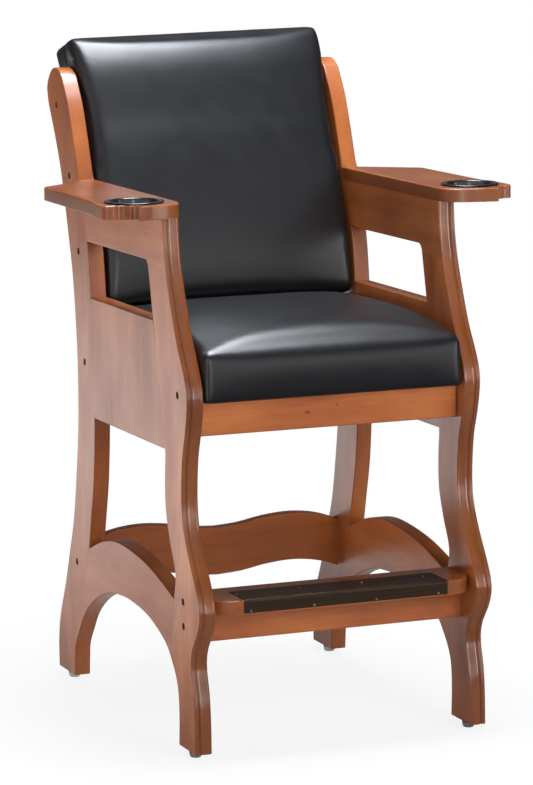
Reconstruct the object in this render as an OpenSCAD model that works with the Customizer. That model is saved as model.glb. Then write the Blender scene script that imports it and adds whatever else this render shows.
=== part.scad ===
// Tall spectator chair: two shaped side frames carry an upholstered seat and back, a footrest
// with a kick plate, and broad arms with a drink well and a cue rest at each front end.
// X runs across the chair, the front faces -Y, Z is up and the floor is at Z = 0.

/* [Side frames] */
// Width over the outer faces of the two side frames
frame_w = 584; // [540:1:640]
// Thickness of a side frame
side_t = 32; // [29:0.5:38]
// Depth of a side frame, from the belly of the front leg to the heel of the rear leg
side_d = 788.5; // [760:1:820]
// Height of a side frame, from the bottom of the wood to the top of the rear post
side_h = 1199.5; // [1160:1:1230]
// Depth of the moulding on the front of the legs
moulding_d = 4; // [2:0.25:6]

/* [Arms] */
// Thickness of an arm
arm_t = 25.4; // [22:0.2:32]
// Height of the top of the arms above the wooden feet, at the middle of the chair
arm_z = 996; // [985:1:1010]
// Rise of the arms towards the front, in degrees
arm_tilt = 0.7; // [0:0.1:2]
// Width of an arm at its broad front end
arm_w = 148; // [144:1:160]
// How far the arms narrow from the front end to the back end
arm_taper = 14; // [4:1:24]
// Radius of the cue notch in the tip of an arm
cue_r = 14; // [12:0.5:15]

/* [Drink wells] */
// Inside diameter of a drink well
well_d = 88; // [76:1:90]
// Depth of a drink well below its flange
well_depth = 19; // [14:0.5:20]
// Diameter of the flange of a drink well
flange_d = 110; // [104:1:112]
// Thickness of the flange of a drink well
flange_t = 2; // [1.5:0.25:3]
// Wall of a drink well
well_wall = 2; // [1.5:0.25:2.5]
// Distance of a drink well from the outer face of the side frame
well_out = 44; // [40:1:50]

/* [Seat] */
// Height of the middle of the seat board above the wooden feet, at its front bolts
seat_z = 654.5; // [630:1:680]
// Fall of the seat towards the back, in degrees
seat_tilt = 1.4; // [0:0.1:4]
// Depth of the seat board
seat_board_d = 558; // [540:1:566]
// Thickness of the seat board
seat_board_t = 25.4; // [18:0.2:30]
// Height of the seat cushion at its front corners, from the top of the board
seat_corner_h = 66; // [55:1:75]
// Extra height of the seat cushion at its middle
seat_crown = 46; // [36:1:47]
// Height of the front seat rail
seat_rail_h = 65; // [50:1:90]

/* [Back] */
// Distance from the line of the back bolts to the front edge of the back cushion
back_front = 57; // [48:1:64]
// Distance from the line of the back bolts to the rear face of the back
back_rear = 27; // [25:0.5:32]
// Extra thickness of the back cushion at its middle
back_crown = 18; // [8:1:26]
// Thickness of the back frame's wood, front to rear
back_wood_t = 44; // [36:1:46]
// Width of a back stile and of the back rails
back_wood_w = 50; // [40:1:70]

/* [Footrest] */
// Height of the top of the footrest above the wooden feet
footrest_z = 286.5; // [280:1:296]
// Thickness of the footrest board
footrest_t = 28.5; // [25:0.5:32]
// Depth of the footrest board
footrest_d = 111; // [95:1:120]
// Radius of the footrest board's front corners
footrest_r = 46; // [20:1:50]
// Length of the kick plate
plate_l = 406; // [360:1:420]
// Width of the kick plate's top flange
plate_d = 72; // [50:1:90]
// Height of the kick plate's front flange
plate_h = 26; // [18:0.5:27]
// Thickness of the kick plate
plate_t = 1.2; // [0.8:0.1:2]

/* [Rails] */
// Thickness of the front seat rail and the stretchers
rail_t = 25.4; // [20:0.2:30]
// Height of the front stretcher
front_stretcher_h = 59; // [40:1:70]
// Height of the rear stretcher
rear_stretcher_h = 96; // [70:1:100]

/* [Fasteners and glides] */
// Diameter of a bolt's shank
bolt_d = 6; // [5:0.5:8]
// Diameter of a bolt's head
bolt_head_d = 12; // [11:0.5:13]
// Thickness of a bolt's head
bolt_head_h = 4; // [3:0.5:5]
// Diameter of a bolt's counterbore
counterbore_d = 14; // [13.5:0.5:18]
// Depth of a bolt's counterbore
counterbore_h = 8; // [6:0.5:12]
// Diameter of a dowel
dowel_d = 10; // [8:0.5:12]
// Diameter of a glide
glide_d = 24; // [18:1:28]
// Height of a glide's metal dome
glide_dome_h = 10; // [6:0.5:12]
// Thickness of a glide's rubber cushion
glide_rubber_t = 4; // [2:0.5:6]

/* [Hidden] */
$fn = 48;

half_w = frame_w / 2;
inner_x = half_w - side_t;

// The fit of a round piece in its hole, and the gap that keeps padding clear of what it meets
hole_fit = 0.2;
thread_fit = 0.1;
pad_gap = 0.3;
// Length of a curve's straight steps
curve_step = 16;

// Outlines of a side frame, seen from the side as [y, z] above the bottom of the wooden feet.
// They are drawn for a frame 788.5 deep and 1199.5 high, and stretch with the driving sizes.
drawn_d = 788.5;
drawn_h = 1199.5;
function fitted(pts) = [for (p = pts) [p[0] * side_d / drawn_d, p[1] * side_h / drawn_h]];
function level(z) = z * side_h / drawn_h;

leg_face_pts = fitted([
  [-391, 0], [-389, 60], [-383, 110], [-372, 150], [-371, 172], [-379, 195], [-405, 230], [-417, 260],
  [-413, 285], [-393, 320], [-360, 370], [-337, 418], [-331, 457], [-332, 500], [-338, 545], [-353, 592],
  [-363, 640], [-361, 668], [-346, 700], [-314, 750], [-284, 815], [-263, 870], [-250, 925], [-246, 975]
]);
leg_toe_pts = fitted([[-303, 0], [-305, 57], [-300, 104], [-287, 130], [-268, 152]]);
leg_joint_pts = fitted([[-268, 152], [-283, 272]]);
leg_calf_pts = fitted([[-283, 272], [-292, 319], [-267.5, 371], [-246, 427], [-242, 486], [-247, 544]]);
leg_panel_pts = fitted([[-247, 544], [-189, 777]]);
leg_jamb_pts = fitted([[-189, 777], [-163, 884]]);
post_back_pts = fitted([
  [371, 0], [371.5, 57], [360, 107], [324.5, 181], [293, 260], [272, 315], [253.7, 398], [238, 500],
  [234.4, 590], [237.7, 671], [254.6, 794], [278, 880], [318, 1002], [346, 1060], [384, 1125]
]);
post_top_pts = fitted([
  [384, 1125], [392.5, 1152], [388, 1170], [374, 1187], [359, 1197], [341.5, 1199.5], [322, 1195],
  [305, 1184]
]);
post_face_pts = fitted([
  [181, 276], [167, 335], [148.4, 417], [138, 539], [140, 640], [151, 773], [169, 879], [214, 993],
  [268, 1127], [305, 1184]
]);
post_toe_pts = fitted([[243, 101], [259, 80], [270, 61], [273, 38], [276, 0]]);
arch_top_pts = fitted([
  [181, 276], [112, 302], [48, 316.5], [-10, 320], [-88, 315], [-154, 306], [-218, 291], [-283, 272]
]);
arch_under_pts = fitted([
  [-268, 152], [-236, 179], [-166, 204.5], [-112, 214.5], [-56, 219], [-10, 219], [52, 212.6], [114, 195],
  [160, 174], [203, 146], [226, 123], [243, 101]
]);
// Levels of the side openings: the sill's two ends, the head's two ends and the seam below the rail
sill_rear_z = level(773);
sill_front_z = level(777);
head_rear_z = level(879);
head_front_z = level(884);
rail_seam_z = level(867);
panel_rear_z = level(539);
panel_front_z = level(544);
post_joint_z = level(276);
post_shoulder_z = level(1184);
opening_r = 17;
jamb_lean =
  let (way = leg_jamb_pts[1] - leg_jamb_pts[0]) atan2(way[0], way[1]);

// Cubic curve through points, read at a height
function span(p, z, i = 0) = (i >= len(p) - 2 || z <= p[i + 1][1]) ? i : span(p, z, i + 1);
function slope(p, i) =
  let (a = max(i - 1, 0), b = min(i + 1, len(p) - 1)) (p[b][0] - p[a][0]) / (p[b][1] - p[a][1]);
function at(p, z) =
  let (
    last = len(p) - 1,
    q = min(max(z, p[0][1]), p[last][1]),
    i = span(p, q),
    h = p[i + 1][1] - p[i][1],
    t = (q - p[i][1]) / h,
    near = (2 * t ^ 3 - 3 * t ^ 2 + 1) * p[i][0] + (t ^ 3 - 2 * t ^ 2 + t) * h * slope(p, i),
    far = (3 * t ^ 2 - 2 * t ^ 3) * p[i + 1][0] + (t ^ 3 - t ^ 2) * h * slope(p, i + 1)
  )
  near + far + (z - q) * slope(p, z > q ? last : 0);
// Even heights from one level up to, but without, the next
function heights(a, b) = let (n = ceil(abs(b - a) / curve_step)) [for (i = [0:n - 1]) a + (b - a) * i / n];
function along(p, a, b) = [for (z = heights(a, b)) [at(p, z), z]];
// Smooth curve through points that may turn back on itself
function blend(a, b, c, d, t) =
  0.5 * (2 * b + (c - a) * t + (2 * a - 5 * b + 4 * c - d) * t ^ 2 + (3 * b - a - 3 * c + d) * t ^ 3);
function smooth(p, n = 4) =
  let (last = len(p) - 1)
  concat(
    [for (i = [0:last - 1], j = [0:n - 1])
      blend(p[max(i - 1, 0)], p[i], p[i + 1], p[min(i + 2, last)], j / n)],
    [p[last]]
  );
function arc(c, r, a0, a1, n = 12) =
  [for (i = [0:n]) let (a = a0 + (a1 - a0) * i / n) c + r * [cos(a), sin(a)]];

// Front and rear edge of the front leg at a height
function leg_face(z) = at(leg_face_pts, z);
function leg_back(z) =
  z <= leg_joint_pts[0][1] ? at(leg_toe_pts, z)
  : z <= leg_joint_pts[1][1] ? at(leg_joint_pts, z)
  : z <= panel_front_z ? at(leg_calf_pts, z)
  : z <= sill_front_z ? at(leg_panel_pts, z)
  : at(leg_jamb_pts, z);
function post_face(z) = at(post_face_pts, z);

// Underside of the arms, which is also the top edge of the upper side rails
function arm_under_z(y) = arm_z - arm_t / cos(arm_tilt) - y * tan(arm_tilt);

// The seat hangs on two bolts a side, in a frame of its own that starts at the front bolt
seat_bolt_in = 51;
seat_bolt_gap = 504.5;
seat_bolt_y = leg_face(seat_z) + seat_bolt_in;
seat_board_lead = 40;
board_side_gap = 9;
pad_side_gap = 2;
seat_board_x = inner_x - board_side_gap;
seat_pad_x = inner_x - pad_side_gap;
seat_pad_front = 10;
function seat_under_z(y) =
  seat_z - seat_board_t / 2 / cos(seat_tilt) - (y - seat_bolt_y) * tan(seat_tilt);
seat_rear_bolt = [
  seat_bolt_y + seat_bolt_gap * cos(seat_tilt),
  seat_z - seat_bolt_gap * sin(seat_tilt)
];
seat_rail_lead = 11.5;
seat_rail_side_gap = 1;
seat_rail_y = seat_bolt_y - seat_rail_lead;

// The back follows the circle through its three pairs of bolts
back_bolts = fitted([[219.2, 855], [266.8, 996.3], [337.7, 1127.6]]);
back_centre =
  let (
    a = back_bolts[0],
    m1 = back_bolts[1] - a,
    m2 = back_bolts[2] - a,
    k = 2 * (m1[0] * m2[1] - m1[1] * m2[0])
  )
  a + [
    (m2[1] * (m1 * m1) - m1[1] * (m2 * m2)) / k,
    (m1[0] * (m2 * m2) - m2[0] * (m1 * m1)) / k
  ];
back_radius = norm(back_bolts[0] - back_centre);
function back_angle(p) = atan2(p[1] - back_centre[1], back_centre[0] - p[0]);
// Angles on that circle at the lower and upper end of the back
back_low = 6.7;
back_high = 41.7;
back_mid = (back_low + back_high) / 2;
back_half = (back_high - back_low) / 2;
back_pad_x = inner_x - pad_side_gap;
back_wood_x = inner_x - board_side_gap;
back_panel_t = 6;
back_end = 1.6;
back_wood_front = back_wood_t / 2;
back_roll = 7;
back_swell = 10;
function degrees_of(l) = l / back_radius * 180 / PI;

// Footrest and stretchers, placed behind the face of the front legs
footrest_rear_in = 114;
footrest_bolt_in = 81.5;
footrest_bolt_drop = 11.5;
footrest_rear_y = leg_face(footrest_z) + footrest_rear_in;
footrest_front_y = footrest_rear_y - footrest_d;
footrest_bolt = [leg_face(footrest_z) + footrest_bolt_in, footrest_z - footrest_bolt_drop];
footrest_under_z = footrest_z - footrest_t;
front_stretcher_lead = 1.5;
front_stretcher_y = footrest_bolt[0] - front_stretcher_lead;
front_stretcher_bolt = [front_stretcher_y, footrest_under_z - front_stretcher_h / 2 + 1];
rear_bolt_in = 49;
rear_bolt_z = 235;
rear_stretcher_bolt = [at(post_back_pts, rear_bolt_z) - rear_bolt_in, rear_bolt_z];
stretcher_bolts = [front_stretcher_bolt, rear_stretcher_bolt];
rear_stretcher_wave = [[0, 46.5], [50, 50], [100, 59], [150, 63.5], [190, 61.5], [225, 55], [260, 43]];

// Fasteners
bolt_hole_d = bolt_d + 0.6;
bolt_grip = 44;
bolt_run_out = 6;
socket_d = bolt_d * 0.75;
barrel_d = 10;
barrel_l = 14;
barrel_x = inner_x - 26;
insert_d = 10;
insert_l = 18;
dowel_l = 50;
rail_dowel_d = 8;
seat_dowel_l = 36;
seat_dowel_drop = 4;
back_dowel_l = 40;
arm_dowel_l = 38;
arm_dowel_rise = 15;

// Dowels inside a side frame: [y, z, angle of the axis from +Y]
frame_dowels = concat(
  [for (z = [190, 240]) [at([post_toe_pts[0], post_face_pts[0]], level(z)), level(z), 19.5]],
  [for (z = [188, 240]) [at(leg_joint_pts, level(z)), level(z), 7]],
  [for (z = [590, 720]) [post_face(level(z)), level(z), 0]],
  [for (z = [590, 720]) [at(leg_panel_pts, level(z)), level(z), -14]],
  [for (z = [905, 945]) [post_face(level(z)), level(z), -21]],
  [for (y = [-244, -196]) [y * side_d / drawn_d, rail_seam_z, 90]]
);
arm_dowel_ys = [-190, -50, 90];

// Drink wells
well_x = half_w + well_out;
well_y = -218;
well_fit = 0.5;
recess_d = well_d + 2 * well_wall + 2 * well_fit;
recess_h = well_depth + well_wall + 0.4;
flange_round = 0.6;

// Glides
glide_h = glide_dome_h + glide_rubber_t;
glide_foot_d = glide_d - 8;
nail_d = 2.5;
nail_l = 18;
glide_front_y = (leg_face(0) + leg_back(0)) / 2;
glide_rear_y = (post_back_pts[0][0] + post_toe_pts[len(post_toe_pts) - 1][0]) / 2;

// Kick plate, bent round the rounded front edge of the footrest board
plate_bend_r = 4;
plate_bend = [footrest_front_y + plate_bend_r, footrest_z - plate_bend_r];
plate_bend_arc = arc(plate_bend, plate_bend_r, 180, 90, 8);
plate_end_gap = 5;
plate_nail_d = 1.8;
plate_nail_head_d = 4.2;
plate_nail_head_h = 0.8;
plate_nail_l = 12;
plate_nail_end = 32.5;
plate_nail_gap = (plate_l - plate_nail_end) / 3;
plate_nail_rise = 7.5;
plate_nail_shift = -3;
plate_top_nail = [-12, 48];

walnut = [0.55, 0.29, 0.15];
vinyl = [0.09, 0.09, 0.1];
steel = [0.62, 0.62, 0.6];
beech = [0.82, 0.68, 0.48];
black = [0.12, 0.12, 0.12];
bronze = [0.22, 0.17, 0.13];

// Closed skin over rings of equally many points. Each end is flat, or drawn to a tip.
module skin(rings, foot_tip = [], top_tip = []) {
  m = len(rings[0]);
  last = len(rings) - 1;
  tips = concat(len(foot_tip) > 0 ? [foot_tip] : [], len(top_tip) > 0 ? [top_tip] : []);
  foot_i = (last + 1) * m;
  top_i = foot_i + len(tips) - 1;
  sides = [
    for (k = [0:last - 1], i = [0:m - 1])
      let (a = k * m + i, b = k * m + (i + 1) % m)
        each [[a, a + m, b + m], [a, b + m, b]]
  ];
  foot = len(foot_tip) > 0
    ? [for (i = [0:m - 1]) [i, (i + 1) % m, foot_i]]
    : [[for (i = [0:m - 1]) i]];
  lid = len(top_tip) > 0
    ? [for (i = [0:m - 1]) [last * m + i, top_i, last * m + (i + 1) % m]]
    : [[for (i = [m - 1:-1:0]) last * m + i]];
  polyhedron(points = concat([for (r = rings) each r], tips), faces = concat(foot, sides, lid));
}

// Padded form: rings on a squared-off oval, drawn in at mid height, under a crown.
// A ring is [scale across, scale along, share of the height].
function oval(a, b, p = 30) = [a, b] / (abs(a) ^ p + abs(b) ^ p) ^ (1 / p);
pad_walk = [for (q = [0:3], i = [0:10])
  let (t = -1 + 2 * i / 11) [[1, t], [-t, 1], [-1, -t], [t, -1]][q]];
pad_crown_rings = [
  [1, 1, 0.42], [1, 1, 0.7], [0.993, 0.993, 0.9], [0.975, 0.975, 0.97], [0.94, 0.94, 1],
  [0.85, 0.85, 1], [0.7, 0.7, 1], [0.5, 0.5, 1], [0.25, 0.25, 1]
];
seat_rings = concat([[0.994, 0.994, 0], [1, 1, 0.12]], pad_crown_rings);
back_rings = concat(
  [[0.3, 0.3, 0], [0.6, 0.6, 0], [0.85, 0.85, 0], [0.992, 0.955, 0], [0.998, 0.982, 0.08], [1, 1, 0.26]],
  pad_crown_rings
);
pad_waist = 3;
function pad_point(q, ring, half, low, high) =
  let (
    draw = pad_waist * sin(180 * min(1, ring[2] / 0.84)) * (1 - min(abs(q[0]), abs(q[1])) ^ 2),
    w = 1 - draw / half[0]
  )
  [q[0] * ring[0] * w * half[0], q[1] * ring[1] * w * half[1], low + (high - low) * ring[2]];

function seat_top(u, v) =
  seat_board_t / 2 + seat_corner_h + seat_crown * (0.3 * (1 - u ^ 2) + 0.2 * (1 - v ^ 2)
  + 0.5 * (1 - u ^ 2) * sqrt(max(0, 1 - v ^ 2)));
seat_pad_half = [seat_pad_x, (seat_board_d + 2 * seat_pad_front) / 2];
seat_pad_mid = seat_board_d / 2 - seat_board_lead;
seat_pad = [for (ring = seat_rings) [for (w = pad_walk)
  let (
    q = oval(w[0], w[1]),
    high = seat_top(q[0] * ring[0], q[1] * ring[1])
  )
  pad_point(q, ring, seat_pad_half, -seat_board_t / 2, high) + [0, seat_pad_mid, 0]]];

function swell(v) = max(0, 1 - ((v - 0.5) / 0.45) ^ 2);
function back_top(u, v) =
  back_front - back_roll + back_roll * (1 - v ^ 4) + back_swell * swell(v)
  + back_crown * (1 - u ^ 2) * (1 - v ^ 4);
back_pad_half = [back_pad_x, 300];
function on_back(x, angle, n) = [
  x,
  back_centre[0] - (back_radius + n) * cos(angle),
  back_centre[1] + (back_radius + n) * sin(angle)
];
back_pad = [for (ring = back_rings) [for (w = pad_walk)
  let (
    q = oval(w[0], w[1]),
    high = back_top(q[0] * ring[0], q[1] * ring[1]),
    p = pad_point(q, ring, back_pad_half, -back_rear, high)
  )
  on_back(p[0], back_mid + back_half * p[1] / back_pad_half[1], p[2])]];

// The moulding: a small bead along the outer face, a quirk, and a broad bead
bead_edge = 9.2;
function bead(e, a, b, drop) =
  let (u = (2 * e - a - b) / (b - a)) drop * (1 - sqrt(max(0, 1 - 0.94 * u ^ 2)));
moulding_steps = concat(
  [for (u = [0, 0.2, 0.5, 0.8, 1]) [u * bead_edge, 0.25 + bead(u * bead_edge, 0, bead_edge, 0.9)]],
  [for (u = [0.06, 0.2, 0.4, 0.6, 0.8, 0.94, 1])
    let (e = bead_edge + u * (side_t - bead_edge)) [e, bead(e, bead_edge, side_t, 1.15)]]
);
// Levels at which the front leg's outline is taken
leg_levels = concat(
  heights(0, leg_joint_pts[0][1]), heights(leg_joint_pts[0][1], leg_joint_pts[1][1]),
  heights(leg_joint_pts[1][1], panel_front_z), heights(panel_front_z, sill_front_z),
  heights(sill_front_z, rail_seam_z), [rail_seam_z]
);

// The origin lies under the middle of the chair's depth
front_reach = min([for (z = leg_levels) leg_face(z)]) + moulding_d * min([for (m = moulding_steps) m[1]]);
rear_reach = max([for (r = back_pad) each [for (p = r) p[1]]]);
centre_y = -(front_reach + rear_reach) / 2;

module raised() { translate([0, centre_y, glide_h]) children(); }
module sided(side) { mirror([side < 0 ? 1 : 0, 0, 0]) children(); }
// A board cut to a side view outline and standing from x over the thickness t
module upright(x, t) { translate([x, 0, 0]) rotate([90, 0, 90]) linear_extrude(t) children(); }
// A round bar along X, centred in the middle of its length
module bar_x(p, d, l) { translate(p) rotate([0, 90, 0]) cylinder(d = d, h = l, center = true); }
// A pair of bars that run from beyond the inner faces of the side frames into what lies between them
module end_bolt_bars(p, d, l) {
  for (side = [-1, 1])
    bar_x([side * (inner_x - l / 2 + bolt_run_out), p[0], p[1]], d, l + 2 * bolt_run_out);
}

module frame_bolt_holes() {
  for (p = side_bolts) {
    bar_x([half_w - side_t / 2, p[0], p[1]], bolt_hole_d, side_t + 2);
    bar_x([half_w, p[0], p[1]], counterbore_d, 2 * counterbore_h);
  }
}
side_bolts = concat(
  back_bolts,
  [[seat_bolt_y, seat_z], seat_rear_bolt, footrest_bolt, front_stretcher_bolt, rear_stretcher_bolt]
);

module frame_dowel_bars(d, l) {
  for (p = frame_dowels)
    translate([half_w - side_t / 2, p[0], p[1]]) rotate([p[2] + 90, 0, 0])
      cylinder(d = d, h = l, center = true);
}
module arm_dowel_bars(d, l) {
  for (y = arm_dowel_ys)
    translate([half_w - side_t / 2, y, arm_under_z(y) + arm_dowel_rise - arm_dowel_l / 2])
      cylinder(d = d, h = l, center = true);
}
module glide_nail_hole(y) {
  translate([half_w - side_t / 2, y, -1]) cylinder(d = nail_d + thread_fit, h = nail_l + 1.5);
}
module frame_cuts() {
  frame_bolt_holes();
  frame_dowel_bars(dowel_d + hole_fit, dowel_l + 1);
}

module rear_leg(side) {
  color(walnut) raised() sided(side) difference() {
    upright(inner_x, side_t) polygon(concat(
      along(post_back_pts, 0, post_top_pts[0][1]),
      smooth(post_top_pts, 2),
      [for (z = heights(post_shoulder_z, rear_top_z)) if (z < post_shoulder_z) [post_face(z), z]],
      along(post_face_pts, rear_top_z, head_rear_z),
      along(post_face_pts, head_rear_z, sill_rear_z),
      along(post_face_pts, sill_rear_z, panel_rear_z),
      along(post_face_pts, panel_rear_z, post_joint_z),
      [post_face_pts[0]],
      smooth(post_toe_pts, 3)
    ));
    frame_cuts();
    glide_nail_hole(glide_rear_y);
  }
}

// One level of the front leg: its plain rear and its moulded front
function face_ring(z, rear_y) = concat(
  [[inner_x, rear_y, z]],
  [for (i = [len(moulding_steps) - 1:-1:0])
    let (m = moulding_steps[i]) [half_w - m[0], leg_face(z) + m[1] * moulding_d, z]],
  [[half_w, rear_y, z]]
);
module front_leg(side) {
  color(walnut) raised() sided(side) difference() {
    skin([for (z = leg_levels) face_ring(z, leg_back(z))]);
    frame_cuts();
    glide_nail_hole(glide_front_y);
  }
}

// The rail is one board whose front end carries the moulding on, with a rounded inner corner
function rail_ring(e) =
  let (
    drop = e[1] * moulding_d,
    tip_y = leg_face(nose_top_z) + drop,
    corner = [leg_back(head_front_z - opening_r) + opening_r / cos(jamb_lean), head_front_z - opening_r]
  )
  [for (p = concat(
    [[leg_face(rail_seam_z) + drop, rail_seam_z], [leg_back(rail_seam_z), rail_seam_z]],
    arc(corner, opening_r, 180 - jamb_lean, 90, 6),
    along(post_face_pts, head_rear_z, rear_top_z),
    [[post_face(rear_top_z), arm_under_z(post_face(rear_top_z))], [tip_y, arm_under_z(tip_y)]],
    [for (k = [4:-1:1])
      let (z = rail_seam_z + (nose_top_z - rail_seam_z) * k / 5) [leg_face(z) + drop, z]]
  )) [half_w - e[0], p[0], p[1]]];
module upper_side_rail(side) {
  // A side of the rail is closed round a point that every corner of its outline can be seen from
  heart = [leg_back(rail_seam_z) - side_t, (rail_seam_z + 2 * nose_top_z) / 3];
  color(walnut) raised() sided(side) difference() {
    skin(
      [for (i = [len(moulding_steps) - 1:-1:0]) rail_ring(moulding_steps[i])],
      [inner_x, heart[0], heart[1]], [half_w, heart[0], heart[1]]
    );
    frame_dowel_bars(dowel_d + hole_fit, dowel_l + 1);
    arm_dowel_bars(dowel_d + hole_fit, arm_dowel_l + 1);
  }
}
// Heights at which the rail's top edge meets the rear post and the moulded front
function meet(z, n) = n == 0 ? z : meet(arm_under_z(post_face(z)), n - 1);
rear_top_z = meet(arm_z - arm_t, 6);
nose_top_z = arm_under_z(leg_face(arm_z - arm_t));

module side_panel(side) {
  color(walnut) raised() sided(side) difference() {
    upright(inner_x, side_t) polygon(concat(
      [leg_panel_pts[0], leg_panel_pts[1]],
      along(post_face_pts, sill_rear_z, panel_rear_z),
      [[post_face(panel_rear_z), panel_rear_z]]
    ));
    frame_cuts();
  }
}

module arch_board(side) {
  color(walnut) raised() sided(side) difference() {
    upright(inner_x, side_t) polygon(concat(smooth(arch_top_pts, 3), smooth(arch_under_pts, 3)));
    frame_dowel_bars(dowel_d + hole_fit, dowel_l + 1);
  }
}

// Arms lie in a frame of their own, with their top at Z = 0
module on_arm() { translate([0, 0, arm_z]) rotate([-arm_tilt, 0, 0]) children(); }
arm_outer_x = inner_x + arm_w;
arm_end_lead = 4;
arm_tip = [inner_x + 97.5, -300.3];
hook_t = 2;
cue_centre = arm_tip + [hook_t, cue_r + hook_t];
cue_heel = cue_centre + cue_r * [0.2, 0.98];
module arm_outline() {
  scallop = [cue_heel, cue_heel + [9, 8.5], cue_heel + [17, 9.5], cue_heel + [21, 10.5]];
  polygon(concat(
    [[inner_x, 240]],
    smooth([
      [inner_x, -240], [inner_x + 4, -257], [inner_x + 14, -271], [inner_x + 32, -282],
      [inner_x + 56, -290], [inner_x + 70, -294.5], [inner_x + 82, -296.5], arm_tip
    ], 3),
    arc(cue_centre, cue_r, -104, -268, 12),
    smooth(scallop, 3),
    [cue_heel + [24, 15], [arm_outer_x - 13, -253.5]],
    arc([arm_outer_x - 10, -243.5], 10, -80, 0, 5),
    smooth([
      [arm_outer_x, -225], [arm_outer_x - 1, -205], [arm_outer_x - 6, -178], [arm_outer_x - 10, -150],
      [arm_outer_x - 11, -100], [arm_outer_x - arm_taper, 115]
    ], 3),
    arc([arm_outer_x - arm_taper - 10, 117], 10, 0, 50, 4),
    [[half_w, post_face(rear_top_z) - arm_end_lead], [half_w, 240]]
  ));
}

module arm(side) {
  color(walnut) raised() sided(side) difference() {
    on_arm() translate([0, 0, -arm_t]) linear_extrude(arm_t) arm_outline();
    on_arm() translate([well_x, well_y, -recess_h]) cylinder(d = recess_d, h = recess_h + 1);
    upright(inner_x - 1, side_t + 2) polygon(concat(
      along(post_face_pts, head_rear_z, rear_top_z),
      along(post_face_pts, rear_top_z, post_shoulder_z),
      [[post_face(post_shoulder_z), post_shoulder_z], [side_d, post_shoulder_z]],
      [[side_d, head_rear_z]]
    ));
    arm_dowel_bars(dowel_d + hole_fit, arm_dowel_l + 1);
  }
}

module drink_well(side) {
  color(black) raised() sided(side) on_arm() translate([well_x, well_y, 0]) rotate_extrude() polygon([
    [0, -well_depth - well_wall], [well_d / 2 + well_wall - 2, -well_depth - well_wall],
    [well_d / 2 + well_wall, -well_depth - well_wall + 2], [well_d / 2 + well_wall, 0],
    [flange_d / 2, 0], [flange_d / 2, flange_t - flange_round], [flange_d / 2 - flange_round, flange_t],
    [well_d / 2, flange_t], [well_d / 2, -well_depth], [0, -well_depth]
  ]);
}

// Seat: board, cushion round it, and the rail below its front edge
module on_seat() { translate([0, seat_bolt_y, seat_z]) rotate([-seat_tilt, 0, 0]) children(); }
module seat_slab(gap) {
  translate([-seat_board_x - gap, -seat_board_lead - gap, -seat_board_t / 2 - gap - (gap > 0 ? 1 : 0)])
    cube([2 * (seat_board_x + gap), seat_board_d + 2 * gap, seat_board_t + 2 * gap + (gap > 0 ? 1 : 0)]);
}
module seat_bolt_bars(d, l) {
  for (y = [0, seat_bolt_gap]) end_bolt_bars([y, 0], d, l);
}
module seat_barrels(d, top, bottom) {
  for (side = [-1, 1], y = [0, seat_bolt_gap])
    translate([side * barrel_x, y, bottom]) cylinder(d = d, h = top - bottom);
}
module seat_board() {
  color(beech) raised() difference() {
    on_seat() seat_slab(0);
    on_seat() seat_bolt_bars(bolt_hole_d, bolt_grip);
    on_seat() seat_barrels(barrel_d + hole_fit, barrel_l / 2 + 0.2, -seat_board_t / 2 - 1);
    seat_rail_dowel_bars(rail_dowel_d + hole_fit, seat_dowel_l + 1);
  }
}
module seat_cushion() {
  color(vinyl) raised() on_seat() difference() {
    skin(seat_pad, top_tip = [0, seat_pad_mid, seat_top(0, 0)]);
    seat_slab(pad_gap);
    seat_bolt_bars(bolt_hole_d + 1, bolt_grip);
  }
}
seat_rail_x = inner_x - seat_rail_side_gap;
module seat_rail_dowel_bars(d, l) {
  for (x = [-180, -60, 60, 180])
    translate([x, seat_rail_y + rail_t / 2, seat_under_z(seat_rail_y) - seat_dowel_drop])
      cylinder(d = d, h = l, center = true);
}
module front_seat_rail() {
  front = seat_rail_y;
  rear = seat_rail_y + rail_t;
  color(walnut) raised() difference() {
    upright(-seat_rail_x, 2 * seat_rail_x) polygon([
      [front, seat_under_z(front) - seat_rail_h], [rear, seat_under_z(front) - seat_rail_h],
      [rear, seat_under_z(rear)], [front, seat_under_z(front)]
    ]);
    seat_rail_dowel_bars(rail_dowel_d + hole_fit, seat_dowel_l + 1);
  }
}
module seat_rail_dowels() { color(beech) raised() seat_rail_dowel_bars(rail_dowel_d, seat_dowel_l); }

// Back: a curved frame of stiles and rails, a panel on its front, the cushion round both, and a cover
module on_back_circle(from, to) {
  translate([0, back_centre[0], back_centre[1]]) rotate([90, 0, 90]) rotate([0, 180, 0])
    rotate([0, 0, from]) rotate_extrude(angle = to - from, $fn = 240) children();
}
module back_band(xs, n0, n1, from, to) {
  on_back_circle(from, to) translate([back_radius + n0, -xs[1]]) square([n1 - n0, xs[1] - xs[0]]);
}
module back_wood(xs, from, to) { back_band(xs, -back_wood_front, back_wood_front, from, to); }
back_wood_low = back_low + back_end;
back_wood_high = back_high - back_end;
back_wood_xs = [-back_wood_x, back_wood_x];
module insert_bars(d, l) {
  for (side = [-1, 1], p = back_bolts) bar_x([side * (back_wood_x - insert_l / 2), p[0], p[1]], d, l);
}
module back_bolt_bars(d, l) {
  for (p = back_bolts) end_bolt_bars(p, d, l);
}
module back_rail_dowel_bars(d, l) {
  for (side = [-1, 1], angle = [back_wood_low, back_wood_high - degrees_of(back_wood_w)], k = [0.25, 0.75])
    bar_x(on_back(side * (back_wood_x - back_wood_w), angle + degrees_of(back_wood_w) * k, 0), d, l);
}
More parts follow.
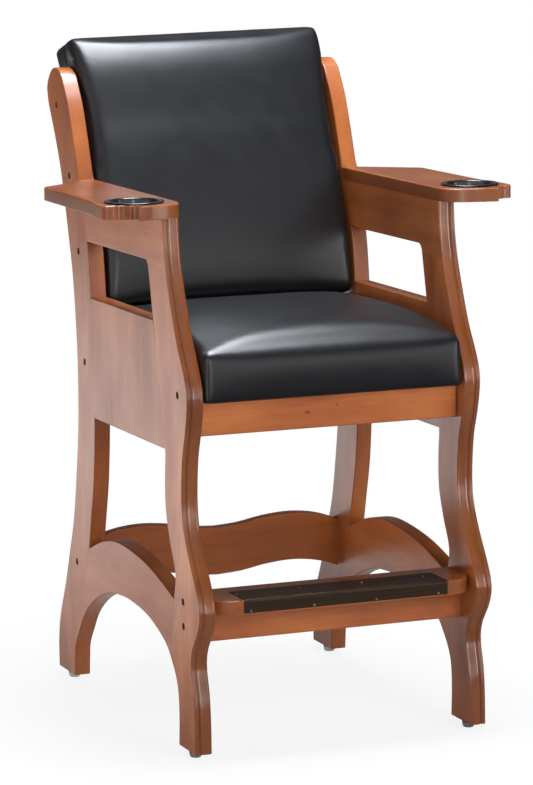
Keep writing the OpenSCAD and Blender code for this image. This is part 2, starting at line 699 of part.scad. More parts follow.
module back_stile(side) {
  color(beech) raised() difference() {
    sided(side) back_wood([back_wood_x - back_wood_w, back_wood_x], back_wood_low, back_wood_high);
    insert_bars(insert_d + hole_fit, insert_l + 0.4);
    back_bolt_bars(bolt_hole_d, bolt_grip);
    back_rail_dowel_bars(rail_dowel_d + hole_fit, back_dowel_l + 1);
  }
}
module back_rail(from) {
  color(beech) raised() difference() {
    back_wood([back_wood_w - back_wood_x, back_wood_x - back_wood_w], from, from + degrees_of(back_wood_w));
    back_rail_dowel_bars(rail_dowel_d + hole_fit, back_dowel_l + 1);
  }
}
module back_frame_dowels() { color(beech) raised() back_rail_dowel_bars(rail_dowel_d, back_dowel_l); }
module back_panel() {
  color(beech) raised()
    back_band(back_wood_xs, back_wood_front, back_wood_front + back_panel_t, back_wood_low, back_wood_high);
}
module back_cushion() {
  gap_angle = degrees_of(pad_gap);
  inner = back_radius + back_wood_front + back_panel_t + pad_gap;
  from = 180 - back_wood_low + gap_angle;
  to = 180 - back_wood_high - gap_angle;
  color(vinyl) raised() difference() {
    skin(back_pad, on_back(0, back_mid, -back_rear), on_back(0, back_mid, back_top(0, 0)));
    upright(-back_wood_x - pad_gap, 2 * (back_wood_x + pad_gap)) polygon(concat(
      arc(back_centre, back_radius - back_rear - 5, from, to, 24),
      arc(back_centre, inner, to, from, 24)
    ));
    back_bolt_bars(bolt_hole_d + 1, bolt_grip);
  }
}
module back_cover() {
  color(vinyl) raised()
    back_band(back_wood_xs, -back_rear, -back_wood_front, back_wood_low, back_wood_high);
}

// Footrest and its metal plate
module footrest_outline() {
  polygon(concat(
    [[inner_x, footrest_rear_y], [-inner_x, footrest_rear_y]],
    arc([-inner_x + footrest_r, footrest_front_y + footrest_r], footrest_r, 180, 270, 8),
    arc([inner_x - footrest_r, footrest_front_y + footrest_r], footrest_r, 270, 360, 8)
  ));
}
module footrest_barrels(d, l, drop) {
  for (side = [-1, 1])
    translate([side * barrel_x, footrest_bolt[0], footrest_bolt[1] - drop]) cylinder(d = d, h = l);
}
module plate_nail_bars(d, l) {
  for (i = [-1.5:1:1.5]) {
    translate([i * plate_nail_gap + plate_nail_shift, footrest_front_y, footrest_under_z + plate_nail_rise])
      rotate([-90, 0, 0]) cylinder(d = d, h = l);
    translate([i * plate_nail_gap + plate_top_nail[0], footrest_front_y + plate_top_nail[1], footrest_z - l])
      cylinder(d = d, h = l);
  }
}
module footrest_board() {
  color(walnut) raised() difference() {
    translate([0, 0, footrest_under_z]) linear_extrude(footrest_t) footrest_outline();
    end_bolt_bars(footrest_bolt, bolt_hole_d, bolt_grip);
    footrest_barrels(barrel_d + hole_fit, footrest_t, footrest_t - barrel_l / 2 - 0.2);
    plate_nail_bars(plate_nail_d + thread_fit, plate_nail_l + 0.5);
    upright(-plate_l / 2 - plate_end_gap, plate_l + 2 * plate_end_gap) polygon(concat(
      [[footrest_front_y - 5, footrest_z + 5], [footrest_front_y - 5, plate_bend[1]]],
      plate_bend_arc,
      [[plate_bend[0], footrest_z + 5]]
    ));
  }
}
module kick_plate() {
  color(bronze) raised() difference() {
    upright(-plate_l / 2, plate_l) polygon(concat(
      [[footrest_front_y + plate_d, footrest_z], [footrest_front_y + plate_d, footrest_z + plate_t]],
      arc(plate_bend, plate_bend_r + plate_t, 90, 180, 8),
      [[footrest_front_y - plate_t, footrest_z + plate_t - plate_h]],
      [[footrest_front_y, footrest_z + plate_t - plate_h]],
      plate_bend_arc
    ));
    translate([0, -plate_t - 1, 0]) plate_nail_bars(plate_nail_d + thread_fit, 10);
    translate([0, 0, plate_t + 1]) plate_nail_bars(plate_nail_d + thread_fit, 10);
  }
}
module kick_plate_nails() {
  color(steel) raised() {
    translate([0, -plate_t, 0]) intersection() {
      plate_nail_bars(plate_nail_d, plate_nail_l + plate_t);
      translate([-inner_x, footrest_front_y - 1, footrest_under_z])
        cube([frame_w, 30, footrest_t - plate_bend_r - 1]);
    }
    translate([0, 0, plate_t]) intersection() {
      plate_nail_bars(plate_nail_d, plate_nail_l + plate_t);
      translate([-inner_x, footrest_front_y + 30, footrest_under_z]) cube([frame_w, 40, 60]);
    }
    for (i = [-1.5:1:1.5]) {
      x = i * plate_nail_gap;
      translate([x + plate_nail_shift, footrest_front_y - plate_t, footrest_under_z + plate_nail_rise])
        rotate([90, 0, 0]) cylinder(d = plate_nail_head_d, h = plate_nail_head_h);
      translate([x + plate_top_nail[0], footrest_front_y + plate_top_nail[1], footrest_z + plate_t])
        cylinder(d = plate_nail_head_d, h = plate_nail_head_h);
    }
  }
}

// Stretchers, each bolted through the legs into barrel nuts
module stretcher_barrel_holes(p) {
  stretcher_barrels(p, barrel_d + hole_fit, rail_t / 2 + barrel_l / 2 + 1.2, rail_t / 2 + 1);
}
module stretcher_barrels(p, d, l, reach) {
  for (side = [-1, 1])
    translate([side * barrel_x, p[0] + reach, p[1]]) rotate([90, 0, 0]) cylinder(d = d, h = l);
}
module front_stretcher() {
  color(walnut) raised() difference() {
    translate([-inner_x, front_stretcher_y - rail_t / 2, footrest_under_z - front_stretcher_h])
      cube([2 * inner_x, rail_t, front_stretcher_h]);
    end_bolt_bars(front_stretcher_bolt, bolt_hole_d, bolt_grip);
    stretcher_barrel_holes(front_stretcher_bolt);
  }
}
module rear_stretcher() {
  wave = [for (p = rear_stretcher_wave) [p[0] * inner_x / 260, p[1]]];
  right = smooth(wave, 3);
  left = [for (i = [len(right) - 1:-1:1]) [-right[i][0], right[i][1]]];
  top = concat(left, right);
  under = [for (i = [len(top) - 1:-1:0]) top[i] - [0, rear_stretcher_h]];
  color(walnut) raised() difference() {
    translate([0, rear_stretcher_bolt[0] + rail_t / 2, rear_stretcher_bolt[1]]) rotate([90, 0, 0])
      linear_extrude(rail_t) polygon(concat(top, under));
    end_bolt_bars(rear_stretcher_bolt, bolt_hole_d, bolt_grip);
    stretcher_barrel_holes(rear_stretcher_bolt);
  }
}

// A bolt along X with its head in the counterbore of the side frame
module bolt(side, p, end_x) {
  head_x = half_w - counterbore_h;
  sided(side) translate([head_x, p[0], p[1]]) rotate([0, 90, 0]) difference() {
    union() {
      cylinder(d = bolt_head_d, h = bolt_head_h);
      translate([0, 0, end_x - head_x]) cylinder(d = bolt_d, h = head_x - end_x + 1);
    }
    translate([0, 0, bolt_head_h - 2.5]) cylinder(d = socket_d, h = 3, $fn = 6);
  }
}
nut_bolt_end = barrel_x - barrel_d / 2 - 2;
insert_bolt_end = back_wood_x - insert_l + 2;
module bolts(points, end_x) { color(steel) raised() for (side = [-1, 1], p = points) bolt(side, p, end_x); }
module threads(points) {
  for (side = [-1, 1], p = points) bar_x([side * barrel_x, p[0], p[1]], bolt_d + thread_fit, 2 * barrel_d);
}
module back_inserts() {
  color(steel) raised() difference() {
    insert_bars(insert_d, insert_l);
    insert_bars(bolt_d + thread_fit, insert_l + 2);
  }
}
module seat_barrel_nuts() {
  color(steel) raised() difference() {
    on_seat() seat_barrels(barrel_d, barrel_l / 2, -barrel_l / 2);
    threads([[seat_bolt_y, seat_z], seat_rear_bolt]);
  }
}
module footrest_barrel_nuts() {
  color(steel) raised() difference() {
    footrest_barrels(barrel_d, barrel_l, barrel_l / 2);
    threads([footrest_bolt]);
  }
}
module stretcher_barrel_nuts() {
  color(steel) raised() difference() {
    for (p = stretcher_bolts) stretcher_barrels(p, barrel_d, barrel_l, barrel_l / 2);
    threads(stretcher_bolts);
  }
}

module frame_dowel_set(side) { color(beech) raised() sided(side) frame_dowel_bars(dowel_d, dowel_l); }
module arm_dowel_set(side) { color(beech) raised() sided(side) arm_dowel_bars(dowel_d, arm_dowel_l); }

module at_feet() {
  translate([0, centre_y, 0]) for (side = [-1, 1], y = [glide_front_y, glide_rear_y])
    translate([side * (half_w - side_t / 2), y, 0]) children();
}
module glides() {
  color(steel) at_feet() rotate_extrude() polygon(concat(
    [[0, 0], [glide_foot_d / 2, 0]],
    [for (a = [15:15:75])
      [glide_foot_d / 2 + (glide_d - glide_foot_d) / 2 * sin(a), glide_dome_h * (1 - cos(a))]],
    [[glide_d / 2, glide_dome_h], [nail_d / 2, glide_dome_h]],
    [[nail_d / 2, glide_h + nail_l], [0, glide_h + nail_l]]
  ));
}
module glide_cushions() {
  color(black) at_feet() translate([0, 0, glide_dome_h]) difference() {
    cylinder(d = glide_d, h = glide_rubber_t);
    translate([0, 0, -1]) cylinder(d = nail_d + thread_fit, h = glide_rubber_t + 2);
  }
}

rear_leg(-1);  // left_rear_leg
rear_leg(1);  // right_rear_leg
front_leg(-1);  // left_front_leg
front_leg(1);  // right_front_leg
upper_side_rail(-1);  // left_upper_side_rail
upper_side_rail(1);  // right_upper_side_rail
side_panel(-1);  // left_side_panel
side_panel(1);  // right_side_panel
arch_board(-1);  // left_arch_board
arch_board(1);  // right_arch_board
frame_dowel_set(-1);  // left_frame_dowels
frame_dowel_set(1);  // right_frame_dowels
arm(-1);  // left_arm
arm(1);  // right_arm
arm_dowel_set(-1);  // left_arm_dowels
arm_dowel_set(1);  // right_arm_dowels
drink_well(-1);  // left_drink_well
drink_well(1);  // right_drink_well
seat_board();
seat_cushion();
front_seat_rail();
seat_rail_dowels();
back_stile(-1);  // left_back_stile
back_stile(1);  // right_back_stile
back_rail(back_wood_high - degrees_of(back_wood_w));  // back_top_rail
back_rail(back_wood_low);  // back_bottom_rail
back_frame_dowels();
back_panel();
back_cushion();
back_cover();
footrest_board();
kick_plate();
kick_plate_nails();
front_stretcher();
rear_stretcher();
bolts(back_bolts, insert_bolt_end);
back_inserts();
bolts([[seat_bolt_y, seat_z], seat_rear_bolt], nut_bolt_end);  // seat_bolts
seat_barrel_nuts();
bolts([footrest_bolt], nut_bolt_end);  // footrest_bolts
footrest_barrel_nuts();
bolts(stretcher_bolts, nut_bolt_end);
stretcher_barrel_nuts();
glides();
glide_cushions();
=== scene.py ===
import math

import bpy
from mathutils import Matrix, Vector
from mathutils.bvhtree import BVHTree


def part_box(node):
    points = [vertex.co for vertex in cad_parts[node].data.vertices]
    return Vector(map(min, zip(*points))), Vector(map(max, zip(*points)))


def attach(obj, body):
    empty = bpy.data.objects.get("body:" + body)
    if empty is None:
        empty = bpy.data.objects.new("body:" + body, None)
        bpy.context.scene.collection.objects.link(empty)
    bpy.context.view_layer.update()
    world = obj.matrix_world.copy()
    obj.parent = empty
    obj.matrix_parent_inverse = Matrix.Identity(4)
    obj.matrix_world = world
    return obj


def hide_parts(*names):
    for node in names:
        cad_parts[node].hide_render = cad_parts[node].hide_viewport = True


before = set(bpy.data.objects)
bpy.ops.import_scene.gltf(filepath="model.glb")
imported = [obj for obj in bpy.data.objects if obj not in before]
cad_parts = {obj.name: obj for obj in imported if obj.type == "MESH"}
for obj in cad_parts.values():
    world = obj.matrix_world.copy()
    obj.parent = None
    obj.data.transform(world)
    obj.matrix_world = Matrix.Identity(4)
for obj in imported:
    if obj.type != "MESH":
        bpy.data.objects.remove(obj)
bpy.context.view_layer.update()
bpy.ops.object.select_all(action="DESELECT")

# Viewpoint. The chair is seen with a long lens from in front and somewhat from the side of its
# left arm (-X), from higher than its back and about seven metres away.
eye = Vector((-2.70749, -6.70607, 1.83158))
turned, dipped, leaning = math.radians(22.076), math.radians(9.688), math.radians(-0.3517)
ahead = Vector((
    math.sin(turned) * math.cos(dipped), math.cos(turned) * math.cos(dipped), -math.sin(dipped)
))
level = Vector((math.cos(turned), -math.sin(turned), 0.0))
plumb = level.cross(ahead)
across = math.cos(leaning) * level + math.sin(leaning) * plumb
upward = math.cos(leaning) * plumb - math.sin(leaning) * level
bpy.ops.object.camera_add(location=eye)
camera = bpy.context.object
camera.name = "camera"
stand = Matrix((across, upward, -ahead)).transposed().to_4x4()
stand.translation = eye
camera.matrix_world = stand
camera.data.lens = 175.18
camera.data.sensor_width = 36.0
camera.data.shift_x = -0.00036
camera.data.shift_y = 0.0048
camera.data.clip_end = 80.0
bpy.context.scene.camera = camera

# Studio. A seamless white floor in a dim room, with a white wall behind the camera on its left
# and a faint backdrop and a bright patch of floor behind the chair. Three soft lamps light it,
# two of them kept out of the gloss, and two tall narrow ones draw lines along the mouldings.
bpy.context.scene.view_settings.view_transform = "Standard"


def shown_rays(tree):
    """One for the rays that show the room itself: to the eye, in gloss and through glass."""
    ray = tree.nodes.new("ShaderNodeLightPath")
    either = ray.outputs["Is Camera Ray"]
    for other in ("Is Glossy Ray", "Is Transmission Ray"):
        both = tree.nodes.new("ShaderNodeMath")
        both.operation = "MAXIMUM"
        tree.links.new(either, both.inputs[0])
        tree.links.new(ray.outputs[other], both.inputs[1])
        either = both.outputs[0]
    return either


bpy.ops.mesh.primitive_plane_add(size=60.0, location=(0, 0, 0))
floor = bpy.context.object
floor.name = "studio_floor"
paper = bpy.data.materials.new("white_paper")
paper.use_nodes = True
tree = paper.node_tree
tree.nodes.clear()
lit = tree.nodes.new("ShaderNodeBsdfDiffuse")
lit.inputs["Color"].default_value = (0.82, 0.82, 0.82, 1)
glow = tree.nodes.new("ShaderNodeEmission")
glow.inputs["Strength"].default_value = 1.0
spot = tree.nodes.new("ShaderNodeTexCoord")


def far_from(place, near, far, low, high):
    """Goes from low to high as the floor gets from near to far metres away from a place."""
    gap = tree.nodes.new("ShaderNodeVectorMath")
    gap.operation = "DISTANCE"
    gap.inputs[1].default_value = place
    tree.links.new(spot.outputs["Object"], gap.inputs[0])
    reach = tree.nodes.new("ShaderNodeMapRange")
    reach.interpolation_type = "SMOOTHSTEP"
    for socket, value in zip(("From Min", "From Max", "To Min", "To Max"), (near, far, low, high)):
        reach.inputs[socket].default_value = value
    tree.links.new(gap.outputs["Value"], reach.inputs["Value"])
    return reach.outputs["Result"]


sight = tree.nodes.new("ShaderNodeLightPath")
chosen_ray = {}
bright_patch, under_chair = (-1.8, 3.4, 0), (0, 0, 0)
for use, in_gloss, to_eye in (
    ("Strength", far_from(bright_patch, 0.3, 4.8, 1.7, 0.10), 1.0),
    ("Share", 1.0, far_from(under_chair, 0.5, 1.5, 0.86, 1.0)),
):
    picked = tree.nodes.new("ShaderNodeMix")
    tree.links.new(sight.outputs["Is Camera Ray"], picked.inputs["Factor"])
    for socket, value in (("A", in_gloss), ("B", to_eye)):
        if isinstance(value, float):
            picked.inputs[socket].default_value = value
        else:
            tree.links.new(value, picked.inputs[socket])
    chosen_ray[use] = picked.outputs["Result"]
tree.links.new(chosen_ray["Strength"], glow.inputs["Strength"])
share = tree.nodes.new("ShaderNodeMath")
share.operation = "MULTIPLY"
tree.links.new(chosen_ray["Share"], share.inputs[1])
blended = tree.nodes.new("ShaderNodeMixShader")
result = tree.nodes.new("ShaderNodeOutputMaterial")
tree.links.new(shown_rays(tree), share.inputs[0])
tree.links.new(share.outputs[0], blended.inputs[0])
tree.links.new(lit.outputs[0], blended.inputs[1])
tree.links.new(glow.outputs[0], blended.inputs[2])
tree.links.new(blended.outputs[0], result.inputs["Surface"])
floor.data.materials.append(paper)

room = bpy.data.worlds.new("white_room")
bpy.context.scene.world = room
room.use_nodes = True
tree = room.node_tree
tree.nodes.clear()
heading = tree.nodes.new("ShaderNodeTexCoord")


def wall(facing, low, high, dark, bright):
    """Goes from dark to bright as a ray turns towards the way a wall faces."""
    lean = tree.nodes.new("ShaderNodeVectorMath")
    lean.operation = "DOT_PRODUCT"
    lean.inputs[1].default_value = facing
    tree.links.new(heading.outputs["Generated"], lean.inputs[0])
    reach = tree.nodes.new("ShaderNodeMapRange")
    reach.interpolation_type = "SMOOTHSTEP"
    limits = (low, high, dark, bright)
    for socket, value in zip(("From Min", "From Max", "To Min", "To Max"), limits):
        reach.inputs[socket].default_value = value
    tree.links.new(lean.outputs["Value"], reach.inputs["Value"])
    return reach.outputs["Result"]


def joined(operation, first, second):
    both = tree.nodes.new("ShaderNodeMath")
    both.operation = operation
    tree.links.new(first, both.inputs[0])
    tree.links.new(second, both.inputs[1])
    return both.outputs[0]


to_white_wall, to_backdrop, to_ceiling = (-0.45, -0.89, 0.0), (0.33, 0.94, 0.0), (0.0, 0.0, 1.0)
white_wall = wall(to_white_wall, 0.0, 0.62, 0.04, 0.85)
below_ceiling = wall(to_ceiling, 0.30, 0.70, 1.0, 0.25)
above_skirting = wall(to_ceiling, 0.06, 0.36, 2.2, 1.0)
in_front = joined("MULTIPLY", joined("MULTIPLY", white_wall, below_ceiling), above_skirting)
backdrop = wall(to_backdrop, 0.60, 0.92, 0.0, 0.14)
below_lamp = wall(to_ceiling, 0.22, 0.50, 1.0, 0.0)
in_gloss = joined("MAXIMUM", in_front, joined("MULTIPLY", backdrop, below_lamp))
ray = tree.nodes.new("ShaderNodeLightPath")
walls = tree.nodes.new("ShaderNodeBackground")
walls.inputs["Color"].default_value = (1, 1, 1, 1)
brightness = joined("MAXIMUM", ray.outputs["Is Camera Ray"], in_gloss)
tree.links.new(brightness, walls.inputs["Strength"])
dim = tree.nodes.new("ShaderNodeBackground")
dim.inputs["Color"].default_value = (1, 1, 1, 1)
dim.inputs["Strength"].default_value = 0.13
blended = tree.nodes.new("ShaderNodeMixShader")
result = tree.nodes.new("ShaderNodeOutputWorld")
tree.links.new(shown_rays(tree), blended.inputs[0])
tree.links.new(dim.outputs[0], blended.inputs[1])
tree.links.new(walls.outputs[0], blended.inputs[2])
tree.links.new(blended.outputs[0], result.inputs["Surface"])

daylight, white = (0.88, 0.93, 1.0), (1, 1, 1)
for name, place, aim, size, power in (
    ("front_softbox", (0.9, -4.4, 2.1), (0, 0, 0.7), (1.8, 2.2), 122.0),
    ("side_softbox", (-4.5, -0.2, 0.95), (0, 0, 0.8), (0.9, 0.9), 95.0),
    ("overhead_strip", (0.10, 0.15, 3.1), (0.10, 0.15, 0.8), (1.1, 1.5), 145.0),
    ("moulding_strip", (3.4, -2.9, 1.1), (0, 0, 0.7), (0.4, 2.2), 26.0),
    ("bead_strip", (-1.45, -4.3, 1.25), (0, 0, 0.7), (0.45, 2.4), 30.0),
):
    bpy.ops.object.light_add(type="AREA", location=place)
    lamp = bpy.context.object
    lamp.name = name
    lamp.data.shape = "RECTANGLE"
    lamp.data.size, lamp.data.size_y = size
    lamp.data.energy = power
    lamp.data.color = daylight if name == "overhead_strip" else white
    way = Vector(aim) - Vector(place)
    lamp.rotation_euler = way.to_track_quat("-Z", "Y").to_euler()
    lamp.visible_glossy = name not in ("front_softbox", "side_softbox")


# Side frames. Each side of the chair is five boards of solid hardwood, glued and dowelled edge
# to edge: two shaped legs, an arch between their feet, a panel beside the seat and a rail under
# the arm. The arrises are sanded soft, and the whole is stained reddish brown and lacquered.
def stained_wood(name, turn=(0, 0, 0), shift=0.0, tone=1.0, lacquer=0.6, haze=0.25):
    """Stained hardwood under lacquer. Its grain runs along Z, or along what is turned to Z. The
    tone is how light the stain is, and the haze is the lacquer's roughness."""
    wood = bpy.data.materials.new(name)
    wood.use_nodes = True
    nodes, links = wood.node_tree.nodes, wood.node_tree.links
    surface = nodes["Principled BSDF"]
    place = nodes.new("ShaderNodeTexCoord")
    lie = nodes.new("ShaderNodeMapping")
    lie.inputs["Rotation"].default_value = turn
    lie.inputs["Location"].default_value = (shift, 0.37 * shift, 1.9 * shift)
    links.new(place.outputs["Object"], lie.inputs["Vector"])

    def cloud(scale, detail, roughness, lengthways):
        stretch = nodes.new("ShaderNodeMapping")
        stretch.inputs["Scale"].default_value = (scale, scale, scale * lengthways)
        noise = nodes.new("ShaderNodeTexNoise")
        noise.inputs["Scale"].default_value = 1.0
        noise.inputs["Detail"].default_value = detail
        noise.inputs["Roughness"].default_value = roughness
        links.new(lie.outputs["Vector"], stretch.inputs["Vector"])
        links.new(stretch.outputs["Vector"], noise.inputs["Vector"])
        return noise.outputs["Fac"]

    def added(value, factor, other=None, plus=0.0):
        total = nodes.new("ShaderNodeMath")
        total.operation = "MULTIPLY_ADD"
        links.new(value, total.inputs[0])
        total.inputs[1].default_value = factor
        total.inputs[2].default_value = plus
        if other is not None:
            links.new(other, total.inputs[2])
        return total.outputs[0]

    streaks = cloud(34.0, 5.0, 0.6, 0.06)
    fibres = cloud(420.0, 3.0, 0.65, 0.03)
    blotches = cloud(9.0, 4.0, 0.55, 0.45)
    figure = added(streaks, 0.26, added(fibres, 0.20, added(blotches, 0.50, plus=0.02)))
    ramp = nodes.new("ShaderNodeValToRGB")
    stops = ramp.color_ramp.elements
    stops[0].position, stops[1].position = 0.34, 0.70
    stops[0].color = (0.190 * tone, 0.042 * tone, 0.0080 * tone, 1)
    stops[1].color = (0.445 * tone, 0.146 * tone, 0.0390 * tone, 1)
    middle = stops.new(0.52)
    middle.color = (0.312 * tone, 0.083 * tone, 0.0180 * tone, 1)
    links.new(figure, ramp.inputs["Fac"])
    links.new(ramp.outputs["Color"], surface.inputs["Base Color"])
    gloss = nodes.new("ShaderNodeMapRange")
    gloss.inputs["From Min"].default_value = 0.3
    gloss.inputs["From Max"].default_value = 0.7
    gloss.inputs["To Min"].default_value = 0.46
    gloss.inputs["To Max"].default_value = 0.34
    links.new(blotches, gloss.inputs["Value"])
    links.new(gloss.outputs["Result"], surface.inputs["Roughness"])
    dents = nodes.new("ShaderNodeBump")
    dents.inputs["Strength"].default_value = 0.10
    dents.inputs["Distance"].default_value = 0.0006
    links.new(added(fibres, 0.5, streaks), dents.inputs["Height"])
    links.new(dents.outputs["Normal"], surface.inputs["Normal"])
    surface.inputs["Specular IOR Level"].default_value = 0.35
    surface.inputs["Coat Weight"].default_value = lacquer
    surface.inputs["Coat Roughness"].default_value = haze
    return wood


def knotted(wood, place, reach):
    """Darken the wood round a small knot that reaches so far along the grain."""
    nodes, links = wood.node_tree.nodes, wood.node_tree.links
    surface = nodes["Principled BSDF"]
    colour = surface.inputs["Base Color"].links[0].from_socket
    spot = nodes.new("ShaderNodeTexCoord")
    away = nodes.new("ShaderNodeVectorMath")
    away.operation = "SUBTRACT"
    away.inputs[1].default_value = place
    squashed = nodes.new("ShaderNodeVectorMath")
    squashed.operation = "MULTIPLY"
    squashed.inputs[1].default_value = (1.0, 0.0, 1.9)
    length = nodes.new("ShaderNodeVectorMath")
    length.operation = "LENGTH"
    links.new(spot.outputs["Object"], away.inputs[0])
    links.new(away.outputs["Vector"], squashed.inputs[0])
    links.new(squashed.outputs["Vector"], length.inputs[0])
    fade = nodes.new("ShaderNodeMapRange")
    fade.interpolation_type = "SMOOTHSTEP"
    fade.inputs["From Min"].default_value = 0.2 * reach
    fade.inputs["From Max"].default_value = reach
    fade.inputs["To Min"].default_value = 0.75
    fade.inputs["To Max"].default_value = 0.0
    links.new(length.outputs["Value"], fade.inputs["Value"])
    burnt = nodes.new("ShaderNodeMix")
    burnt.data_type = "RGBA"
    clear_wood, knot_wood, mixed_wood = burnt.inputs[6], burnt.inputs[7], burnt.outputs[2]
    links.new(fade.outputs["Result"], burnt.inputs["Factor"])
    links.new(colour, clear_wood)
    knot_wood.default_value = (0.045, 0.012, 0.004, 1)
    links.new(mixed_wood, surface.inputs["Base Color"])


def chosen(piece):
    """Make one object the only one that operators act on."""
    bpy.ops.object.select_all(action="DESELECT")
    piece.select_set(True)
    bpy.context.view_layer.objects.active = piece


def sanded(node, coats, beside, round_over, moulded=None):
    """A copy of a board with its arrises rounded by round_over(middle, ends), in metres, apart
    from those that meet a neighbour. The coats are for its faces, its arrises and, where
    moulded(face) is true, its moulding."""
    board = bpy.data.objects.new(node + "_sanded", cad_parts[node].data.copy())
    bpy.context.collection.objects.link(board)
    board.data.materials.clear()
    for coat in coats:
        board.data.materials.append(coat)
    chosen(board)
    bpy.ops.object.mode_set(mode="EDIT")
    bpy.ops.mesh.select_all(action="SELECT")
    if board.data.has_custom_normals:
        bpy.ops.mesh.customdata_custom_splitnormals_clear()
    bpy.ops.mesh.remove_doubles(threshold=1e-5)
    bpy.ops.mesh.dissolve_limited(angle_limit=0.001)
    bpy.ops.object.mode_set(mode="OBJECT")
    points, faces = [], []
    for other in beside:
        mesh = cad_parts[other].data
        faces += [[len(points) + i for i in p.vertices] for p in mesh.polygons]
        points += [v.co.copy() for v in mesh.vertices]
    near = BVHTree.FromPolygons(points, faces) if faces else None
    mesh = board.data
    sides, moulded_edges = {}, set()
    for face in mesh.polygons:
        face.material_index = 0
        if moulded and moulded(face):
            face.material_index = 2
            moulded_edges.update(face.edge_keys)
        for key in face.edge_keys:
            sides.setdefault(key, []).append(face.normal)
    widths = []
    flattest_arris, touching = math.cos(math.radians(32)), 0.0004
    for edge in mesh.edges:
        pair = sides.get(edge.key, [])
        ends = [mesh.vertices[i].co for i in edge.vertices]
        middle = (ends[0] + ends[1]) / 2
        arris = len(pair) == 2 and pair[0].dot(pair[1]) < flattest_arris
        arris = arris and edge.key not in moulded_edges
        if arris and (near is None or near.find_nearest(middle, touching)[0] is None):
            widths.append(round_over(middle, ends))
        else:
            widths.append(0.0)
    widest = max(widths)
    weights = mesh.attributes.new("bevel_weight_edge", "FLOAT", "EDGE")
    weights.data.foreach_set("value", [w / widest for w in widths])
    bpy.ops.object.modifier_add(type="BEVEL")
    arrises = board.modifiers[-1]
    arrises.limit_method = "WEIGHT"
    arrises.width = widest
    arrises.segments = 3 if widest < 0.003 else 5
    arrises.use_clamp_overlap = False
    # The rounded arrises take the second coat, a lighter or darker copy of the stain that paints a
    # highlight or shade along the edges.
    arrises.material = 1
    bpy.ops.object.modifier_apply(modifier=arrises.name)
    bpy.ops.object.shade_smooth_by_angle(angle=math.radians(33))
    bpy.ops.object.modifier_add(type="WEIGHTED_NORMAL")
    board.modifiers[-1].keep_sharp = True
    bpy.ops.object.modifier_apply(modifier=board.modifiers[-1].name)
    board.select_set(False)
    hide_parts(node)
    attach(board, "chair")
    return board


upright_grain = (0, 0, 0)
front_to_back_grain = (math.radians(90), 0, 0)
crosswise_grain = (0, math.radians(90), 0)
frame_boards = ("rear_leg", "front_leg", "side_panel", "arch_board", "upper_side_rail", "arm")


def bolt_hole(ends):
    """True for the short edges round a bolt hole or a dowel hole."""
    return (ends[0] - ends[1]).length < 0.0016


def frame_arris(middle, ends):
    return 0.0 if bolt_hole(ends) else 0.0022


for part, grain, seed, tone in (
    ("rear_leg", upright_grain, 1.3, 0.92),
    ("front_leg", upright_grain, 3.5, 1.04),
    ("side_panel", upright_grain, 5.7, 0.94),
    ("arch_board", front_to_back_grain, 7.9, 0.97),
    ("upper_side_rail", front_to_back_grain, 10.1, 0.99),
):
    # The second coat is the stain made darker: painted shade along the rounded arrises.
    coats = [
        stained_wood(part + "_stain", grain, seed, tone),
        stained_wood(part + "_edge", grain, seed, tone * 0.72),
    ]
    has_moulding = part in ("front_leg", "upper_side_rail")
    if has_moulding:
        coats.append(stained_wood(part + "_moulding", grain, seed, tone * 0.50, 1.0, 0.14))
    for side in ("left", "right"):
        node = side + "_" + part
        others = [side + "_" + p for p in frame_boards if p != part]
        across_board = [v.co.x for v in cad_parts[node].data.vertices]

        def moulding_face(face, board_faces=(min(across_board), max(across_board))):
            off_face = min(abs(face.center.x - x) for x in board_faces)
            flush = abs(face.normal.x) > 0.99 and off_face < 0.0002
            return not flush and face.normal.y < 0.2 and abs(face.normal.z) < 0.9

        sanded(node, coats, others, frame_arris, moulding_face if has_moulding else None)

# Arms. Each arm is one broad board laid flat on its side frame and fixed with dowels from below.
# It is flush with the frame inside, stands out over it outside, has a round recess for the drink
# well, and ends in a hooked tip that holds a cue. Its edges are rounded over with a router.
stain = stained_wood("arm_stain", front_to_back_grain, 2.9, 0.58)
# The arris coat is lighter than the arm's faces: a painted highlight along its rounded edges.
edge = stained_wood("arm_edge", front_to_back_grain, 2.9, 0.84, 0.6)
arm_slope = 0.0122
sharp, fine, inner, outer = 0.0006, 0.0014, 0.0020, 0.0036
for side, sign in (("left", -1), ("right", 1)):
    node = side + "_arm"
    well = Vector((sign * 0.336, -0.2241))
    tip = Vector((sign * 0.3575, -0.3045))
    heights = [v.co.z + arm_slope * v.co.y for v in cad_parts[node].data.vertices]
    half_way = (min(heights) + max(heights)) / 2

    def arm_edge(middle, ends, well=well, tip=tip, half_way=half_way):
        flat = Vector((middle.x, middle.y))
        from_well, from_tip = (flat - well).length, (flat - tip).length
        if from_well < 0.052 or bolt_hole(ends) and from_tip > 0.05:
            return 0.0
        if from_tip < 0.045:
            return sharp if from_tip < 0.006 else fine
        if middle.z + arm_slope * middle.y < half_way:
            return sharp
        return inner if abs(middle.x) < 0.2605 else outer

    others = [side + "_" + p for p in ("rear_leg", "front_leg", "upper_side_rail")]
    sanded(node, (stain, edge), others, arm_edge)

